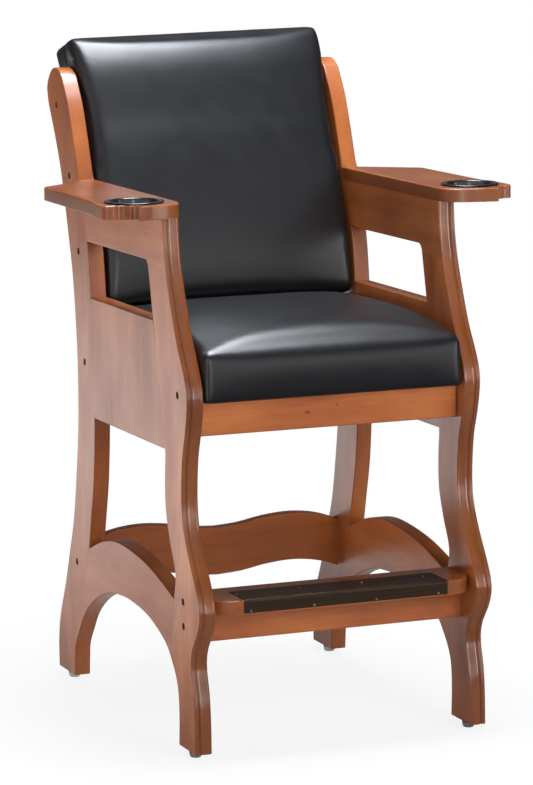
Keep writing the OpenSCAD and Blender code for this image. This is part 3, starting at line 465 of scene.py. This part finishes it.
# Rails. The seat rail under the front of the seat is dowelled up into the seat board and has two
# small knots; the two stretchers are bolted between the legs, and the rear one is cut to a wave
# and rounded on top.
between_frames = 0.2585
for node, seed, tone, beside in (
    ("front_seat_rail", 3.4, 1.02, ("seat_board",)),
    ("front_stretcher", 9.1, 0.96, ("footrest_board",)),
    ("rear_stretcher", 5.6, 0.84, ()),
):
    stain = stained_wood(node + "_stain", crosswise_grain, seed, tone)
    # The arris coat is the stain made a little darker: painted shade along the rounded edges.
    edge = stained_wood(node + "_edge", crosswise_grain, seed, tone * 0.9)
    if node == "front_seat_rail":
        lowest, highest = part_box(node)
        front, half_way = lowest[1], (lowest[2] + highest[2]) / 2
        knotted(stain, (-0.041, front, half_way - 0.002), 0.008)
        knotted(stain, (0.018, front, half_way + 0.008), 0.005)

    def rail_arris(middle, ends, node=node):
        if bolt_hole(ends) or abs(middle.x) > between_frames:
            return 0.0
        if node == "rear_stretcher" and middle.z > 0.28 and middle.y < 0.20:
            return 0.0090
        return 0.0025

    sanded(node, (stain, edge), ("left_front_leg", "right_front_leg", *beside), rail_arris)

# Footrest. A board across the front legs, bolted through them into barrel nuts. Its front corners
# are cut to a broad round and its edges are rounded over; the kick plate is folded over the front.
stain = stained_wood("footrest_stain", crosswise_grain, 6.3, 0.62)
# The arris coat is lighter than the board's faces: a painted highlight along its rounded front
# edges.
edge = stained_wood("footrest_edge", crosswise_grain, 6.3, 0.76)


def footrest_arris(middle, ends):
    if bolt_hole(ends) or abs(middle.x) > between_frames or middle.y > -0.31:
        return 0.0
    return 0.0036


sanded("footrest_board", (stain, edge), ("kick_plate", "front_stretcher"), footrest_arris)


# Padding. The seat and the back are foam under black leathercloth with a fine grain, pulled
# tight over the edge of a board and stapled out of sight.
def leathercloth(name, shift):
    hide = bpy.data.materials.new(name)
    hide.use_nodes = True
    nodes, links = hide.node_tree.nodes, hide.node_tree.links
    surface = nodes["Principled BSDF"]
    place = nodes.new("ShaderNodeTexCoord")
    lie = nodes.new("ShaderNodeMapping")
    lie.inputs["Location"].default_value = (shift, 2 * shift, 3 * shift)
    links.new(place.outputs["Object"], lie.inputs["Vector"])
    pebbles = nodes.new("ShaderNodeTexVoronoi")
    pebbles.feature = "SMOOTH_F1"
    pebbles.inputs["Scale"].default_value = 780.0
    links.new(lie.outputs["Vector"], pebbles.inputs["Vector"])
    slack = nodes.new("ShaderNodeTexNoise")
    slack.inputs["Scale"].default_value = 26.0
    slack.inputs["Detail"].default_value = 4.0
    links.new(lie.outputs["Vector"], slack.inputs["Vector"])
    wear = nodes.new("ShaderNodeMapRange")
    wear.inputs["From Min"].default_value = 0.3
    wear.inputs["From Max"].default_value = 0.7
    wear.inputs["To Min"].default_value = 0.33
    wear.inputs["To Max"].default_value = 0.37
    links.new(slack.outputs["Fac"], wear.inputs["Value"])
    links.new(wear.outputs["Result"], surface.inputs["Roughness"])
    ramp = nodes.new("ShaderNodeValToRGB")
    ramp.color_ramp.elements[0].color = (0.0048, 0.0048, 0.0060, 1)
    ramp.color_ramp.elements[1].color = (0.0068, 0.0068, 0.0084, 1)
    links.new(slack.outputs["Fac"], ramp.inputs["Fac"])
    links.new(ramp.outputs["Color"], surface.inputs["Base Color"])
    grain = nodes.new("ShaderNodeBump")
    grain.inputs["Strength"].default_value = 0.10
    grain.inputs["Distance"].default_value = 0.0004
    links.new(pebbles.outputs["Distance"], grain.inputs["Height"])
    links.new(grain.outputs["Normal"], surface.inputs["Normal"])
    return hide


def foam_form(name, shape):
    """A closed form in even small faces, made by moving each point of a cube's faces to
    shape(x, y, z), with x and y from -1 to 1 and z from 0 to 1."""
    bpy.ops.mesh.primitive_cube_add(size=1.0)
    form = bpy.context.object
    form.name = name
    bpy.ops.object.mode_set(mode="EDIT")
    bpy.ops.mesh.subdivide(number_cuts=63)
    bpy.ops.object.mode_set(mode="OBJECT")
    for v in form.data.vertices:
        v.co = shape(2 * v.co.x, 2 * v.co.y, v.co.z + 0.5)
    bpy.ops.object.modifier_add(type="REMESH")
    form.modifiers[-1].mode = "VOXEL"
    form.modifiers[-1].voxel_size = 0.0059
    bpy.ops.object.modifier_apply(modifier=form.modifiers[-1].name)
    return form


def rolled(point, low, high, radii):
    """Bring a point on a box's faces in to rounded edges that are as wide as the radii."""
    heart = [max(lo + r, min(hi - r, p)) for p, lo, hi, r in zip(point, low, high, radii)]
    way = Vector([(p - h) / r for p, h, r in zip(point, heart, radii)])
    if way.length > 1:
        way.normalize()
    return Vector([h + r * w for h, r, w in zip(heart, radii, way)])


def blown_up(pad, held, most):
    """Let the cover swell under the foam's pressure, but nowhere by more than most metres. The
    swelling is evened out over the cover, because it is pulled tight and shows no wrinkles."""
    chosen(pad)
    before = [v.co.copy() for v in pad.data.vertices]
    group = pad.vertex_groups.new(name="stapled")
    group.add([i for i, co in enumerate(before) if held(co)], 1.0, "REPLACE")
    bpy.ops.object.modifier_add(type="CLOTH")
    cloth = pad.modifiers[-1]
    cloth.settings.use_pressure = True
    cloth.settings.uniform_pressure_force = 4.0
    cloth.settings.effector_weights.gravity = 0.0
    cloth.settings.vertex_group_mass = "stapled"
    cloth.settings.tension_stiffness = 40.0
    cloth.settings.compression_stiffness = 40.0
    cloth.point_cache.frame_start, cloth.point_cache.frame_end = 1, 20
    for step in range(1, 21):
        bpy.context.scene.frame_set(step)
    bpy.ops.object.modifier_apply(modifier=cloth.name)
    bpy.context.scene.frame_set(1)
    moves = [v.co - co for v, co in zip(pad.data.vertices, before)]
    moves = [way * min(1.0, most / max(way.length, 1e-9)) for way in moves]
    pairs = [tuple(edge.vertices) for edge in pad.data.edges]
    for evening_round in range(60):
        sums, counts = [way.copy() for way in moves], [1] * len(moves)
        for a, b in pairs:
            sums[a] += moves[b]
            sums[b] += moves[a]
            counts[a] += 1
            counts[b] += 1
        moves = [total / count for total, count in zip(sums, counts)]
    for v, co, way in zip(pad.data.vertices, before, moves):
        v.co = co + way


def softened(pad):
    """Take the voxel steps out of a pad and divide its faces once."""
    chosen(pad)
    bpy.ops.object.mode_set(mode="EDIT")
    bpy.ops.mesh.select_all(action="SELECT")
    bpy.ops.mesh.vertices_smooth(factor=0.5, repeat=4)
    bpy.ops.object.mode_set(mode="OBJECT")
    bpy.ops.object.modifier_add(type="SUBSURF")
    pad.modifiers[-1].levels = pad.modifiers[-1].render_levels = 1
    bpy.ops.object.modifier_apply(modifier=pad.modifiers[-1].name)


def cut_out(pad, solid):
    """Cut the space of the wooden parts inside a pad out of it."""
    chosen(pad)
    bpy.ops.object.modifier_add(type="BOOLEAN")
    pad.modifiers[-1].object = solid
    bpy.ops.object.modifier_apply(modifier=pad.modifiers[-1].name)
    bpy.data.objects.remove(solid)


# Seat cushion. It wraps the front, the sides and the back of the seat board, so its bottom edge
# is level with the board's. The cover is folded over at the front corners, where two creases run
# down from the corner of the top.
seat_lean = math.radians(-1.4)
seat_pivot = Vector((0.0, -0.318398, 0.6685))
seat_half_w, seat_rear, seat_front = 0.258, 0.528, -0.050
seat_base, seat_corner = -0.0127, 0.0787
seat_middle = (seat_rear + seat_front) / 2
seat_half_d = (seat_rear - seat_front) / 2


def seat_form(u, w, share):
    """A point of the seat: u across, w from front to rear, and its share of the height."""
    x, y = u * seat_half_w, seat_middle + w * seat_half_d
    corner = math.hypot(seat_half_w - abs(x), y - seat_front)
    full = 1 - math.exp(-(corner / 0.09) ** 1.25)
    level = 0.028 + 0.002 * min(1.0, (y - seat_front) / 0.2)
    top = seat_corner + level * full + 0.017 * (1 - u ** 4) * (1 - w * w)
    z = seat_base + share * (top - seat_base)
    upper = full * max(0.0, min(1.0, (share - 0.3) / 0.4))
    filled = 1 - 0.9 * max(0.0, min(1.0, (w - 0.5) / 0.3))
    radii = (
        0.009 + 0.010 * upper * filled,
        0.009 + (0.062 if w < 0 else 0.014) * upper,
        0.010 + (0.042 if w < 0 else 0.022) * full * filled if share > 0.5 else 0.003,
    )
    low = (-seat_half_w, seat_front, seat_base - 0.002)
    high = (seat_half_w, seat_rear, max(top, seat_base + 0.03))
    place = rolled((x, y, z if share > 0 else seat_base - 0.002), low, high, radii)
    if w < 0:
        place.y -= 0.0075 * math.sin(math.pi * share) * (1 - abs(u) ** 6) * max(0.0, -w) ** 8
    return place


seat_pad = foam_form("seat_pad", seat_form)
blown_up(seat_pad, lambda co: co.z < seat_base + 0.004, 0.003)
softened(seat_pad)
between_boards = 0.2592
corner_round, crease_width, crease_top = 0.012, 0.0022, seat_corner + 0.006
back_edge_y, back_edge_z, back_edge_slope, tuck = 0.462, 0.1115, 0.097, 0.010
for v in seat_pad.data.vertices:
    x, y, z = v.co
    v.co.x = max(-between_boards, min(between_boards, x))
    under_back = back_edge_z - back_edge_slope * (y - back_edge_y)
    if y > 0.40 and z > under_back - tuck:
        over = z - under_back + tuck
        v.co.z = under_back - tuck + tuck * math.tanh(over / tuck) - 0.0012
    v.co.z = max(seat_base, v.co.z)
    if z > seat_base + 0.001 and z < crease_top:
        fade = min(1.0, (crease_top - z) / 0.02)
        inward = seat_half_w - corner_round - abs(x)
        rearward = y - seat_front - corner_round
        walk = (math.atan2(rearward, -inward) + math.pi / 4) * corner_round
        if math.hypot(max(0.0, inward), max(0.0, rearward)) < 0.004:
            for line in (-0.0045, 0.0060):
                near = (walk - line) / crease_width
                v.co.y += 0.0012 * fade * math.exp(-near * near)
                v.co.x -= math.copysign(0.0007 * fade * math.exp(-near * near), x)
board_thick, clearance, slab_size = 0.0254, 0.0003, (0.5026, 0.5586, 0.0276)
slab_height = seat_base + board_thick + clearance - slab_size[2] / 2
bpy.ops.mesh.primitive_cube_add(size=1.0)
slab = bpy.context.object
bpy.ops.object.mode_set(mode="EDIT")
bpy.ops.transform.resize(value=slab_size)
bpy.ops.transform.translate(value=(0, seat_middle, slab_height))
bpy.ops.object.mode_set(mode="OBJECT")
cut_out(seat_pad, slab)
seat_pad.data.transform(Matrix.Translation(seat_pivot) @ Matrix.Rotation(seat_lean, 4, "X"))
bpy.ops.object.shade_smooth_by_angle(angle=math.radians(50))
seat_pad.data.materials.append(leathercloth("seat_leathercloth", 0.3))
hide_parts("seat_cushion")
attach(seat_pad, "chair")

# Back cushion. Foam on a bent wooden frame, curved as the frame is and fullest above its
# middle, with its cover folded over the frame's edge all round.
back_middle = Vector((0.0, 1.0655, 0.660527))
back_radius = 0.877498
back_lean = math.radians(24.2)
back_half_w, back_half_h = 0.258, 0.268
back_low, back_high = -0.273, 0.250
back_rear, back_corner = -0.027, 0.055


def on_back(x, s, n):
    """The point x across, s up along the bend of the back and n out from it, in metres."""
    turn = back_lean + s / back_radius
    reach = back_radius + n
    return back_middle + Vector((x, -reach * math.cos(turn), reach * math.sin(turn)))


def back_form(u, v, share):
    """A point of the back: u across, v upwards, and its share of the thickness."""
    x, s = u * back_half_w, (back_low + back_high + v * (back_high - back_low)) / 2
    corner = math.hypot(back_half_w - abs(x), min(back_high - s, s - back_low))
    full = 1 - math.exp(-(corner / 0.08) ** 1.4)
    rise = max(0.0, min(1.0, (s - 0.06) / 0.18))
    thicker = 0.022 * rise * rise * (3 - 2 * rise)
    face = back_corner + 0.012 * full + thicker + 0.009 * ((1 - u * u) * (1 - v ** 6)) ** 0.8
    n = back_rear + share * (face - back_rear)
    upper = full * max(0.0, min(1.0, (share - 0.4) / 0.4))
    radii = (
        0.012 + (0.010 + 0.014 * (1 - v * v)) * upper,
        0.012 + (0.040 if v > 0 else 0.020) * upper,
        0.010 + (0.032 if v > 0 else 0.020) * full if share > 0.5 else 0.014,
    )
    low = (-back_half_w, back_low, back_rear)
    high = (back_half_w, back_high, face)
    x, s, n = rolled((x, s, n), low, high, radii)
    s += 0.042 * (1 - share) * max(0.0, v) ** 3 - 0.004 * (1 - u) * max(0.0, v) ** 6
    clear_of_posts = 0.5 + 0.5 * math.tanh((n - 0.062 + 0.1 * max(0.0, v - 0.7)) / 0.006)
    over_posts = 0.5 + 0.5 * math.tanh((s - 0.216) / 0.005)
    return on_back(x * (1 + 0.024 * max(clear_of_posts, 0.5 * over_posts)), s, n)


back_pad = foam_form("back_pad", back_form)
blown_up(back_pad, lambda co: (co - back_middle).yz.length < back_radius - 0.022, 0.0025)
softened(back_pad)
post_top, post_depth, fold_width = 0.205, 0.062, 0.0025
for v in back_pad.data.vertices:
    turn = math.atan2(v.co.z - back_middle.z, back_middle.y - v.co.y)
    s, n = (turn - back_lean) * back_radius, (v.co - back_middle).yz.length - back_radius
    if s < post_top and n < post_depth:
        v.co.x = max(-between_boards, min(between_boards, v.co.x))
    if abs(v.co.x) > 0.245 and s > 0.17:
        fold = (n - 0.040 - 0.35 * (s - back_half_h)) / fold_width
        deep = 0.0016 * min(1.0, (s - 0.17) / 0.05) * math.exp(-fold * fold)
        v.co.x -= math.copysign(deep, v.co.x)


def bent_slab(name, half_w, low, high, rear, face):
    """A slab as curved as the back, from low to high along it and from its rear to its face."""
    bpy.ops.mesh.primitive_cube_add(size=1.0)
    slab = bpy.context.object
    slab.name = name
    bpy.ops.object.mode_set(mode="EDIT")
    bpy.ops.mesh.select_mode(type="FACE")
    bpy.ops.mesh.select_all(action="SELECT")
    bpy.ops.mesh.subdivide(number_cuts=23)
    bpy.ops.object.mode_set(mode="OBJECT")
    for v in slab.data.vertices:
        x, s, n = v.co
        along, out = low + (high - low) * (s + 0.5), rear + (face - rear) * (n + 0.5)
        v.co = on_back(2 * half_w * x, along, out)
    return slab


frame_low, frame_high = -back_half_h + 0.0245, back_half_h - 0.0245
slab_low, slab_high = frame_low - clearance, frame_high + clearance
slab = bent_slab("frame_space", 0.2513, slab_low, slab_high, -0.040, 0.0283)
cut_out(back_pad, slab)
bpy.ops.object.shade_smooth_by_angle(angle=math.radians(50))
back_pad.data.materials.append(leathercloth("back_leathercloth", 1.7))
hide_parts("back_cushion")
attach(back_pad, "chair")

# Back cover. The rear of the back is closed by a thin panel in the same leathercloth, tacked to
# the frame inside the folded edge of the cushion.
cover = bent_slab("rear_cover", 0.2508, frame_low, frame_high, -0.0270, -0.0222)
cover.data.materials.append(leathercloth("cover_leathercloth", 2.9))
chosen(cover)
bpy.ops.object.shade_smooth_by_angle(angle=math.radians(50))
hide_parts("back_cover")
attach(cover, "chair")

# Drink wells. Each is a shallow moulded cup in black plastic with a low domed flange that rests
# on the arm; it drops into the recess and lifts out for cleaning.
moulded = bpy.data.materials.new("black_plastic")
moulded.use_nodes = True
nodes, links = moulded.node_tree.nodes, moulded.node_tree.links
surface = nodes["Principled BSDF"]
place = nodes.new("ShaderNodeTexCoord")
spark = nodes.new("ShaderNodeTexNoise")
spark.inputs["Scale"].default_value = 1400.0
spark.inputs["Detail"].default_value = 2.0
handling = nodes.new("ShaderNodeTexNoise")
handling.inputs["Scale"].default_value = 42.0
handling.inputs["Detail"].default_value = 4.0
links.new(place.outputs["Object"], spark.inputs["Vector"])
links.new(place.outputs["Object"], handling.inputs["Vector"])
ramp = nodes.new("ShaderNodeValToRGB")
ramp.color_ramp.elements[0].color = (0.008, 0.008, 0.009, 1)
ramp.color_ramp.elements[1].color = (0.018, 0.018, 0.020, 1)
links.new(handling.outputs["Fac"], ramp.inputs["Fac"])
links.new(ramp.outputs["Color"], surface.inputs["Base Color"])
polish = nodes.new("ShaderNodeMapRange")
polish.inputs["To Min"].default_value = 0.14
polish.inputs["To Max"].default_value = 0.28
links.new(handling.outputs["Fac"], polish.inputs["Value"])
links.new(polish.outputs["Result"], surface.inputs["Roughness"])
texture = nodes.new("ShaderNodeBump")
texture.inputs["Strength"].default_value = 0.08
texture.inputs["Distance"].default_value = 0.0003
links.new(spark.outputs["Fac"], texture.inputs["Height"])
links.new(texture.outputs["Normal"], surface.inputs["Normal"])

well_wall = (
    (0.0445, -0.0210), (0.0452, -0.0204), (0.0460, -0.0012), (0.0464, 0.0), (0.0546, 0.0),
    (0.0550, 0.0004), (0.0546, 0.0010), (0.0536, 0.0015), (0.0520, 0.0019), (0.0500, 0.0020),
    (0.0478, 0.0018), (0.0460, 0.0012), (0.0448, 0.0001), (0.0441, -0.0020), (0.0440, -0.0150),
    (0.0432, -0.0176), (0.0412, -0.0189), (0.0380, -0.0190),
)
for side, sign in (("left", -1), ("right", 1)):
    radius, height = 0.040, -0.0210
    bpy.ops.mesh.primitive_circle_add(
        vertices=128, radius=radius, location=(0, 0, height), fill_type="NGON"
    )
    well = bpy.context.object
    well.name = side + "_well_cup"
    bpy.ops.object.transform_apply(location=True)
    bpy.ops.object.mode_set(mode="EDIT")
    bpy.ops.mesh.select_mode(type="EDGE")
    bpy.ops.mesh.select_all(action="DESELECT")
    bpy.ops.object.mode_set(mode="OBJECT")
    for e in well.data.edges:
        e.select = True
    bpy.ops.object.mode_set(mode="EDIT")
    for next_radius, next_height in well_wall:
        rise, grow = next_height - height, next_radius / radius
        bpy.ops.mesh.extrude_region_move(TRANSFORM_OT_translate={"value": (0, 0, rise)})
        bpy.ops.transform.resize(value=(grow, grow, 1), center_override=(0, 0, next_height))
        radius, height = next_radius, next_height
    bpy.ops.mesh.edge_face_add()
    bpy.ops.mesh.inset(thickness=0.014)
    bpy.ops.mesh.select_all(action="SELECT")
    bpy.ops.mesh.normals_make_consistent(inside=False)
    bpy.ops.object.mode_set(mode="OBJECT")
    recess_rim = (sign * 0.336, -0.22403, 1.01466)
    on_arm = Matrix.Translation(recess_rim) @ Matrix.Rotation(math.radians(-0.7), 4, "X")
    well.data.transform(on_arm)
    bpy.ops.object.shade_smooth_by_angle(angle=math.radians(35))
    well.data.materials.append(moulded)
    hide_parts(side + "_drink_well")
    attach(well, side + "_drink_well")

# Kick plate. A strip of steel, brushed lengthways and plated dark bronze, folded over the front
# edge of the footrest and held by small bright nails along both flanges.
bronze = bpy.data.materials.new("brushed_bronze")
bronze.use_nodes = True
nodes, links = bronze.node_tree.nodes, bronze.node_tree.links
surface = nodes["Principled BSDF"]
place = nodes.new("ShaderNodeTexCoord")
brush = nodes.new("ShaderNodeMapping")
brush.inputs["Scale"].default_value = (6.0, 1500.0, 1500.0)
lines = nodes.new("ShaderNodeTexNoise")
lines.inputs["Scale"].default_value = 1.0
lines.inputs["Detail"].default_value = 4.0
links.new(place.outputs["Object"], brush.inputs["Vector"])
links.new(brush.outputs["Vector"], lines.inputs["Vector"])
scuffs = nodes.new("ShaderNodeTexNoise")
scuffs.inputs["Scale"].default_value = 30.0
scuffs.inputs["Detail"].default_value = 6.0
links.new(place.outputs["Object"], scuffs.inputs["Vector"])
ramp = nodes.new("ShaderNodeValToRGB")
ramp.color_ramp.elements[0].position = 0.3
ramp.color_ramp.elements[0].color = (0.040, 0.026, 0.018, 1)
ramp.color_ramp.elements[1].position = 0.75
ramp.color_ramp.elements[1].color = (0.120, 0.085, 0.060, 1)
links.new(lines.outputs["Fac"], ramp.inputs["Fac"])
links.new(ramp.outputs["Color"], surface.inputs["Base Color"])
surface.inputs["Metallic"].default_value = 1.0
satin = nodes.new("ShaderNodeMapRange")
satin.inputs["To Min"].default_value = 0.34
satin.inputs["To Max"].default_value = 0.52
links.new(scuffs.outputs["Fac"], satin.inputs["Value"])
links.new(satin.outputs["Result"], surface.inputs["Roughness"])
scratches = nodes.new("ShaderNodeBump")
scratches.inputs["Strength"].default_value = 0.15
scratches.inputs["Distance"].default_value = 0.0002
links.new(lines.outputs["Fac"], scratches.inputs["Height"])
links.new(scratches.outputs["Normal"], surface.inputs["Normal"])


def finished(nodes_of_part, finish):
    """Give a CAD node that is shown as it is its finish."""
    for node in nodes_of_part:
        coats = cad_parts[node].data.materials
        coats.clear()
        coats.append(finish)


finished(("kick_plate",), bronze)


# Fasteners. The kick plate's nails are bright steel, the bolts are plated in worn bronze, the
# barrel nuts and inserts in zinc, and the glides are polished and then scuffed.
def worn_metal(name, dark, light, smooth, rough):
    metal = bpy.data.materials.new(name)
    metal.use_nodes = True
    nodes, links = metal.node_tree.nodes, metal.node_tree.links
    surface = nodes["Principled BSDF"]
    place = nodes.new("ShaderNodeTexCoord")
    scuffs = nodes.new("ShaderNodeTexNoise")
    scuffs.inputs["Scale"].default_value = 260.0
    scuffs.inputs["Detail"].default_value = 5.0
    links.new(place.outputs["Object"], scuffs.inputs["Vector"])
    ramp = nodes.new("ShaderNodeValToRGB")
    ramp.color_ramp.elements[0].position = 0.35
    ramp.color_ramp.elements[0].color = (*dark, 1)
    ramp.color_ramp.elements[1].position = 0.65
    ramp.color_ramp.elements[1].color = (*light, 1)
    links.new(scuffs.outputs["Fac"], ramp.inputs["Fac"])
    links.new(ramp.outputs["Color"], surface.inputs["Base Color"])
    surface.inputs["Metallic"].default_value = 1.0
    polish = nodes.new("ShaderNodeMapRange")
    polish.inputs["To Min"].default_value = smooth
    polish.inputs["To Max"].default_value = rough
    links.new(scuffs.outputs["Fac"], polish.inputs["Value"])
    links.new(polish.outputs["Result"], surface.inputs["Roughness"])
    dints = nodes.new("ShaderNodeBump")
    dints.inputs["Strength"].default_value = 0.08
    dints.inputs["Distance"].default_value = 0.0002
    links.new(scuffs.outputs["Fac"], dints.inputs["Height"])
    links.new(dints.outputs["Normal"], surface.inputs["Normal"])
    return metal


finished(
    ("kick_plate_nails",),
    worn_metal("nail_steel", (0.42, 0.40, 0.38), (0.62, 0.60, 0.57), 0.2, 0.4),
)
finished(
    ("back_bolts", "seat_bolts", "footrest_bolts", "stretcher_bolts"),
    worn_metal("bolt_bronze", (0.42, 0.33, 0.27), (0.62, 0.52, 0.44), 0.3, 0.5),
)
finished(
    ("back_inserts", "seat_barrel_nuts", "footrest_barrel_nuts", "stretcher_barrel_nuts"),
    worn_metal("nut_zinc", (0.34, 0.34, 0.33), (0.52, 0.51, 0.48), 0.3, 0.5),
)
finished(
    ("glides",), worn_metal("glide_nickel", (0.52, 0.50, 0.47), (0.74, 0.72, 0.68), 0.12, 0.34)
)

# Glide cushions. A disc of black rubber between each glide and the foot keeps the nail from
# splitting the wood and quietens the chair on a hard floor.
rubber = bpy.data.materials.new("black_rubber")
rubber.use_nodes = True
nodes, links = rubber.node_tree.nodes, rubber.node_tree.links
surface = nodes["Principled BSDF"]
place = nodes.new("ShaderNodeTexCoord")
bloom = nodes.new("ShaderNodeTexNoise")
bloom.inputs["Scale"].default_value = 180.0
bloom.inputs["Detail"].default_value = 4.0
links.new(place.outputs["Object"], bloom.inputs["Vector"])
ramp = nodes.new("ShaderNodeValToRGB")
ramp.color_ramp.elements[0].color = (0.012, 0.012, 0.012, 1)
ramp.color_ramp.elements[1].color = (0.030, 0.029, 0.028, 1)
links.new(bloom.outputs["Fac"], ramp.inputs["Fac"])
links.new(ramp.outputs["Color"], surface.inputs["Base Color"])
surface.inputs["Roughness"].default_value = 0.75
finished(("glide_cushions",), rubber)


# Hidden wood. The seat board, the bent frame and panel of the back and the dowels are plain
# pale hardwood, neither stained nor lacquered.
def plain_wood(name, turn):
    wood = bpy.data.materials.new(name)
    wood.use_nodes = True
    nodes, links = wood.node_tree.nodes, wood.node_tree.links
    surface = nodes["Principled BSDF"]
    place = nodes.new("ShaderNodeTexCoord")
    lie = nodes.new("ShaderNodeMapping")
    lie.inputs["Rotation"].default_value = turn
    lie.inputs["Scale"].default_value = (150.0, 150.0, 6.0)
    fibres = nodes.new("ShaderNodeTexNoise")
    fibres.inputs["Scale"].default_value = 1.0
    fibres.inputs["Detail"].default_value = 5.0
    links.new(place.outputs["Object"], lie.inputs["Vector"])
    links.new(lie.outputs["Vector"], fibres.inputs["Vector"])
    ramp = nodes.new("ShaderNodeValToRGB")
    ramp.color_ramp.elements[0].position = 0.3
    ramp.color_ramp.elements[0].color = (0.42, 0.27, 0.14, 1)
    ramp.color_ramp.elements[1].position = 0.7
    ramp.color_ramp.elements[1].color = (0.62, 0.44, 0.26, 1)
    links.new(fibres.outputs["Fac"], ramp.inputs["Fac"])
    links.new(ramp.outputs["Color"], surface.inputs["Base Color"])
    surface.inputs["Roughness"].default_value = 0.7
    pores = nodes.new("ShaderNodeBump")
    pores.inputs["Strength"].default_value = 0.2
    pores.inputs["Distance"].default_value = 0.0004
    links.new(fibres.outputs["Fac"], pores.inputs["Height"])
    links.new(pores.outputs["Normal"], surface.inputs["Normal"])
    return wood


finished(("left_back_stile", "right_back_stile"), plain_wood("stile_wood", upright_grain))
finished(
    ("back_top_rail", "back_bottom_rail", "back_frame_dowels"),
    plain_wood("rail_wood", crosswise_grain),
)
finished(("seat_board", "back_panel"), plain_wood("board_wood", crosswise_grain))
finished(
    (
        "left_frame_dowels", "right_frame_dowels", "left_arm_dowels", "right_arm_dowels",
        "seat_rail_dowels",
    ),
    plain_wood("dowel_wood", upright_grain),
)
